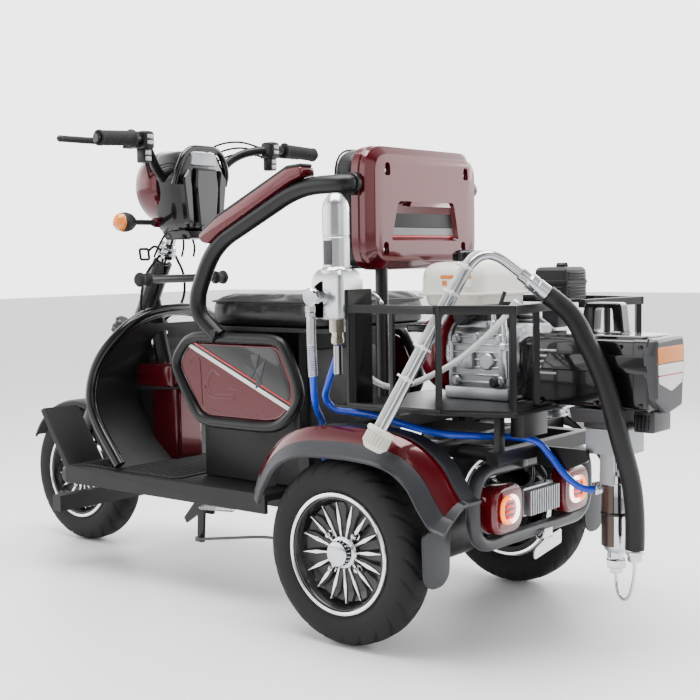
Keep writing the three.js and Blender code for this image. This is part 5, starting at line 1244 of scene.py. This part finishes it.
holes = [lathe([(0, -19), (3.4, -19), (3.4, -10), (0, -10), (0, -19)],
               spot(0, -163 + 11 * (k % 5) - 1, 610 + 12 * (k // 5)), X_AXIS, 8) for k in range(25)]
stub = lathe([(12, 0), (17, 0), (17, 12), (12, 12), (12, 0)], spot(-108, -128, 600), X_AXIS, 28)
fitted(joined(less(can, *holes), stub), "muffler_guard", "chassis", machined, "cast_alloy", "muffler")

# ------------------------------------------------------------------ drive case and pump
# The reduction gear sits in a long gloss black cover with a carrying handle, louvres and a grey end cap;
# a piston pump hangs under it from a cast bracket, with a guard, a clamp ring and a bent return wire.
case_gloss = coating("case_gloss", (0.004, 0.004, 0.0045), 0.17, relief=0.03, clear=0.8, drift=0.15)
CASE = [(-45, 470), (78, 470), (78, 606), (-45, 606)]
body = layered(CASE, "yz", 14,
               [(-527, 3), (-524, 0), (-498, 0), (-496, 2), (-270, 2), (-262, 5), (-250, 13)], 6)
lid = layered([(-520, -36), (-280, -30), (-280, 64), (-520, 70)], "xy", 10,
              [(603, 0), (608, 0.5), (610, 3)])
shoulder = layered([(-526, 540), (-300, 540), (-318, 574), (-526, 574)], "xz", 6,
                   [(74, 0), (79.4, 0.5), (80, 2)])
handle = layered([(-451, 606), (-444, 669), (-367, 669), (-357, 606)], "xz", 9,
                 [(-4, 2.5), (-2, 0), (22, 0), (24, 2.5)])
opening = layered([(-429, 612), (-426, 658), (-391, 658), (-388, 612)], "xz", 6,
                  [(-14, -2), (3, 0), (17, 0), (34, -2)])
pads = [layered([(x - 11, -12), (x + 11, -12), (x + 11, 32), (x - 11, 32)], "xy", 5,
                [(606, -2), (612, -1), (615, 2)]) for x in (-438, -370)]
fitted(joined(body, lid, shoulder, less(handle, opening), *pads), "drive_cover", "chassis", case_gloss,
       "gloss_black", "drive_case")
louvres = [layered([(-336, 532 + 11 * k), (-300, 532 + 11 * k), (-300, 536 + 11 * k),
                    (-336, 536 + 11 * k)], "xz", 1.8, [(75, 0), (78.4, 0), (79.2, 1)]) for k in range(5)]
fitted(joined(*louvres), "cover_louvres", "chassis", light_grey, "grey_satin")
END = [(-37, 473), (16, 463), (74, 493), (82, 578), (72, 604), (-39, 608), (-47, 578)]
end_cap = layered(END, "yz", 6, [(-543, 6), (-540, 2), (-536, 0), (-520, 0), (-518, 2)])
sump = [layered([(-39, 440), (62, 440), (74, 470), (-41, 470)], "yz", 5,
                [(-470, 2), (-467, 0), (-362, 0), (-360, 2)]), block(-526, -484, -22, 50, 428, 470, 4, 3),
        block(-474, -380, -30, 52, 429.3, 444, 3)]
bars = [block(-518 + 7 * k, -514 + 7 * k, 49, 52, 434, 462, 1, 1) for k in range(5)]
fitted(joined(end_cap, *sump), "gear_end_cap", "chassis", grey_satin, "grey_satin")
fitted(joined(*bars), "vent_grid", "chassis", black_enamel, "gloss_black")
fitted(plate([(-30, 520), (14, 506), (66, 524), (70, 558), (-36, 558)], "yz", -544.2, -542.6, 4, 0.4),
       "cap_panel", "chassis", white_film, "grey_satin")
fitted(plate([(-36, 560), (71, 560), (72, 590), (-37, 590)], "yz", -544.4, -542.6, 4, 0.4),
       "cap_panel_band", "chassis", orange_film, "grey_satin")
fitted(plate([(-32, 536), (68, 536), (68, 538.5), (-32, 538.5)], "yz", -544.7, -543, 0, 0.2),
       "cap_panel_line", "chassis", red_film, "grey_satin")
screws = [screw(x, 80, z, Y_AXIS, 4.5) for x,
          z in ((-512, 482), (-512, 590), (-300, 482), (-420, 482), (-470, 590))]
fitted(joined(*screws), "cover_screws", "chassis", black_enamel, "gloss_black")

bracket_grey = coating("bracket_grey", (0.3, 0.31, 0.33), 0.36, metal=0.5, grain=600, relief=0.12)
fitted(dressed("pump_bracket", 3), "pump_casting", "chassis", bracket_grey, "cast_alloy", "pump_bracket")
PUMP_FOOT = spot(-428, 10, 0)
cylinder = lathe([(10.8, 340), (30, 340), (31.7, 338), (31.7, 324), (30, 322), (25, 320), (25, 262),
                  (26, 260), (26, 256), (25, 254), (25, 198), (22, 192), (17, 186), (17, 176), (0, 176),
                  (0, 232), (10.8, 232), (10.8, 340)], PUMP_FOOT, Z_AXIS, 48)
nut = lathe([(0, 156), (19, 156), (21, 158), (21, 171), (19, 173), (0, 173)], PUMP_FOOT, Z_AXIS, 6, 20)
lower_nut = lathe([(0, 146), (13, 146), (14, 148), (14, 157), (0, 157)], PUMP_FOOT, Z_AXIS, 6, 20)
way_out = Vector((math.cos(0.69), math.sin(0.69), 0))
outlet = lathe([(0, 18), (12, 18), (12, 26), (9, 28), (9, 34), (11, 35), (11, 41), (9, 42), (0, 42)],
               spot(-428, 10, 309), way_out, 8, 20)
wire = pipe([(-428, 10, 158), (-430, 12, 110), (-450, 24, 96), (-470, 36, 108), (-484, 44, 150),
             (-485, 45, 188)], 3.4, 26)
sleeve = lathe([(0, 182), (13, 182), (14, 184), (14, 194), (17.6, 196), (17.6, 201), (0, 201)],
               spot(-485, 45, 0), Z_AXIS, 32)
fitted(joined(cylinder, nut, lower_nut, outlet, wire, sleeve), "pump_body", "chassis", bright_chrome,
       "chrome", "pump_cylinder")
fitted(lathe([(0, 300), (9.5, 300), (9.5, 424), (8, 425), (0, 425)], PUMP_FOOT, Z_AXIS, 32), "pump_plunger",
       "pump_rod", bright_chrome, "chrome", "piston_rod")
shade = lathe([(25.4, 318), (28.4, 318), (28.4, 200), (25.4, 200), (25.4, 318)], PUMP_FOOT, Z_AXIS, 48)
less(shade, block(-470, -436, -30, 60, 190, 330, 0.5))
guard_brown = coating("guard_brown_grey", (0.09, 0.065, 0.055), 0.32, metal=0.8, grain=700, relief=0.05)
fitted(shade, "pump_guard", "chassis", guard_brown, "brushed_steel")
fitted(lathe([(25, 266), (29.4, 266), (30, 264.5), (30, 261.5), (29.4, 260), (25, 260), (25, 266)],
             PUMP_FOOT, Z_AXIS, 48), "pump_clamp", "chassis", black_enamel, "black_paint")
arm = layered([(-284, 350), (-284, 388), (-396, 388), (-396, 366), (-352, 346)], "xz", 5,
              [(54, 1.5), (55.5, 0), (64, 0), (65.5, 1.5)])
fitted(arm, "pump_arm", "chassis", black_coat, "black_paint")
pulley = lathe([(0, 0), (60, 0), (66, 3), (66, 7), (60, 12), (66, 17), (66, 21), (60, 24), (0, 24)],
               spot(-250, 10, 440), Z_AXIS, 48)
fitted(pulley, "belt_pulley", "chassis", machined, "brushed_steel")

# ------------------------------------------------------------------ filter manifold
# A machined alloy block carries a tall filter bowl with a coned top, a bleed elbow, a needle valve with a
# thin lever, and three outlets; the first two feed blue hoses through long crimped ferrules.
satin_alloy = coating("satin_alloy", (0.58, 0.59, 0.61), 0.22, metal=0.9, grain=1100, relief=0.04,
                      drift=0.05)
cream_metal = coating("cream_nickel", (0.66, 0.63, 0.5), 0.24, metal=0.85, relief=0.02)


def at(dx, dy, z):
    return spot(40 + dx, 282 + dy, z)


bowl = lathe([(0, 889), (9, 889), (14, 886), (24, 872), (27, 862), (27, 806), (26.2, 805), (26.2, 802),
              (27, 801), (27, 744), (33, 738), (35, 728), (35, 700), (0, 700)], at(0, 0, 0), Z_AXIS, 64)
heart = layered([(-3.5, 246), (78, 246), (78, 322), (-3.5, 322)], "xy", 14,
                [(642, 3), (645, 0), (716, 0), (730, 5), (738, 12), (741, 20)], 8)
step = layered([(40, 640), (79, 640), (79, 700), (40, 724)], "xz", 5,
               [(244, 2), (246, 0), (318, 0), (322, 2)])
fitted(joined(bowl, heart, step), "filter_block", "chassis", satin_alloy, "brushed_steel",
       "filter_manifold")
fitted(layered([(30, 748), (50, 748), (50, 796), (30, 796)], "xz", 3, [(306, 0), (308.8, 0), (309.2, 1)]),
       "filter_slot", "chassis", grey_satin, "grey_satin")
fittings = [lathe([(0, 38), (13, 38), (15, 40), (15, 52), (18, 54), (18, 66), (15, 69), (0, 69)],
                  at(14, 0, 686), Y_AXIS, 32),
            lathe([(0, 0), (11, 0), (12, 2), (12, 12), (10, 14), (10, 22), (12, 24), (12, 30), (0, 30)],
                  at(22, 54, 656), Z_AXIS, 6, 20),
            lathe([(7.5, 0), (11, 0), (11, -8), (9.4, -10), (9.4, -62), (8, -64), (7.5, -64), (7.5, 0)],
                  at(22, 54, 655), Z_AXIS, 28),
            lathe([(0, 0), (8, 0), (9, 2), (9, 10), (0, 10)], at(-2, 62, 686), Y_AXIS, 6, 20),
            lathe([(0, 36), (9, 36), (10, 39), (10, 60), (7, 61), (0, 61)], at(-18, 0, 686), (0, -1, 0),
                  28), lathe([(9, -2), (9, -58), (7.6, -60), (7.4, -60), (7.4, -2), (9, -2)],
                             at(0, 0, 590), Z_AXIS, 28)]
fitted(joined(*fittings), "manifold_fittings", "chassis", bright_chrome, "chrome")
nuts = [lathe([(0, 645), (15, 645), (17, 643), (17, 616), (15, 614), (0, 614)], at(0, 0, 0), Z_AXIS, 6,
              20), lathe([(0, 614), (12, 614), (12, 606), (13.5, 604), (13.5, 594), (9.5, 590.4),
                          (0, 590.4)], at(0, 0, 0), Z_AXIS, 6, 20),
        lathe([(0, 645), (8, 645), (8, 634), (9.6, 632), (9.6, 627), (0, 627)], at(-25, -20, 0), Z_AXIS, 6,
              20)]
fitted(joined(*nuts), "manifold_nuts", "chassis", cream_metal, "chrome")
fitted(coil((62, 336, 594), (62, 333, 530), 8.6, 1.3, 17), "hose_spring", "chassis", satin_alloy,
       "brushed_steel")
lever = joined(lathe([(0, 0.5), (8, 0.5), (9, 2), (9, 7), (7, 9), (0, 9)], spot(22, 222, 686), (0, -1, 0),
                     28), pipe([(22, 217, 686), (2, 217, 690), (-12, 217, 684), (-20, 217, 672)], 2.6, 8),
               lathe([(0, 5), (3, 4), (4.2, 0), (3, -4), (0, -5)], spot(-20, 217, 672), (0.6, 0, 0.8), 16))
fitted(lever, "valve_lever", "prime_lever", bright_chrome, "chrome", "prime_valve_lever")

# ------------------------------------------------------------------ suction tube
# A bright bent tube rests slantwise on the guard bars, with a clear return tube tied beside it, a stepped
# ferrule for the black hose at its upper end and a cream strainer cup at its foot.
tube_satin = coating("suction_tube_satin", (0.55, 0.56, 0.58), 0.16, metal=0.95, grain=500, relief=0.03)
cream = coating("cream_plastic", (0.68, 0.66, 0.58), 0.42, grain=900, relief=0.08)
tie_white = coating("tie_white", (0.8, 0.8, 0.8), 0.45, relief=0.05)
FOOT, BEND, MOUTH = Vector((-118, 377, 405)), Vector((-262, 222, 785)), Vector((-352, 138, 688))
lean, fall = (BEND - FOOT).normalized(), (MOUTH - BEND).normalized()
main_tube = pipe([tuple(FOOT + lean * 30), tuple(BEND), tuple(MOUTH)], 9, 62, False, 16)
ferrule = lathe([(9, -64), (12, -64), (12.5, -62), (12.5, -46), (16, -42), (16, -30), (15, -29), (15, -26),
                 (16, -25), (16, -2), (14.5, 0), (9, 0), (9, -64)], spot(*MOUTH), fall, 40)
fitted(joined(main_tube, ferrule), "suction_pipe", "chassis", tube_satin, "chrome", "suction_tube")
side_way = Vector((0.62, 0.5, 0)).normalized()
vinyl_line = [FOOT + lean * t + side_way * 14 for t in (40, 120, 240, 330)]
vinyl_line += [BEND - lean * 46 + side_way * 12,
               BEND - lean * 10 + fall * 14 + side_way * 16 + Vector((0, 0, 4)),
               BEND + fall * 44 + side_way * 15]
fitted(pipe([tuple(p) for p in vinyl_line], 5.5, 26), "return_tube", "chassis", clear_vinyl, "tube_clear")
ties = []
for t in (150, 215, 330, 385):
    place = FOOT + lean * t + side_way * 7
    ties.append(lathe([(16.2, -2.2), (18, -2.2), (18, 2.2), (16.2, 2.2), (16.2, -2.2)], spot(*place), lean,
                      28))
    knob = place + side_way.cross(lean) * -17
    ties.append(lathe([(0, 5), (3.6, 4), (4.4, 0), (3.6, -4), (0, -5)], spot(*knob), lean, 12))
fitted(joined(*ties), "cable_ties", "chassis", tie_white, "tank_ivory")
cup = lathe([(0, 0), (14, 0), (18, 2), (23, 9), (23.6, 32), (27, 34), (28, 36), (28, 41), (26, 43),
             (0, 43)], spot(*FOOT), lean, 48)
ribs = joined(*ring_of(block(-119.4, -116.6, 399.6, 402.4, 415, 436, 0.8, 1), 24, spot(*FOOT), Z_AXIS))
ribs.data.transform(Matrix.Translation(spot(*FOOT)) @ lean.to_track_quat("Z", "Y").to_matrix().to_4x4()
                    @ Matrix.Translation(-spot(*FOOT)))
fitted(joined(cup, ribs), "strainer_cup", "chassis", cream, "tank_ivory")
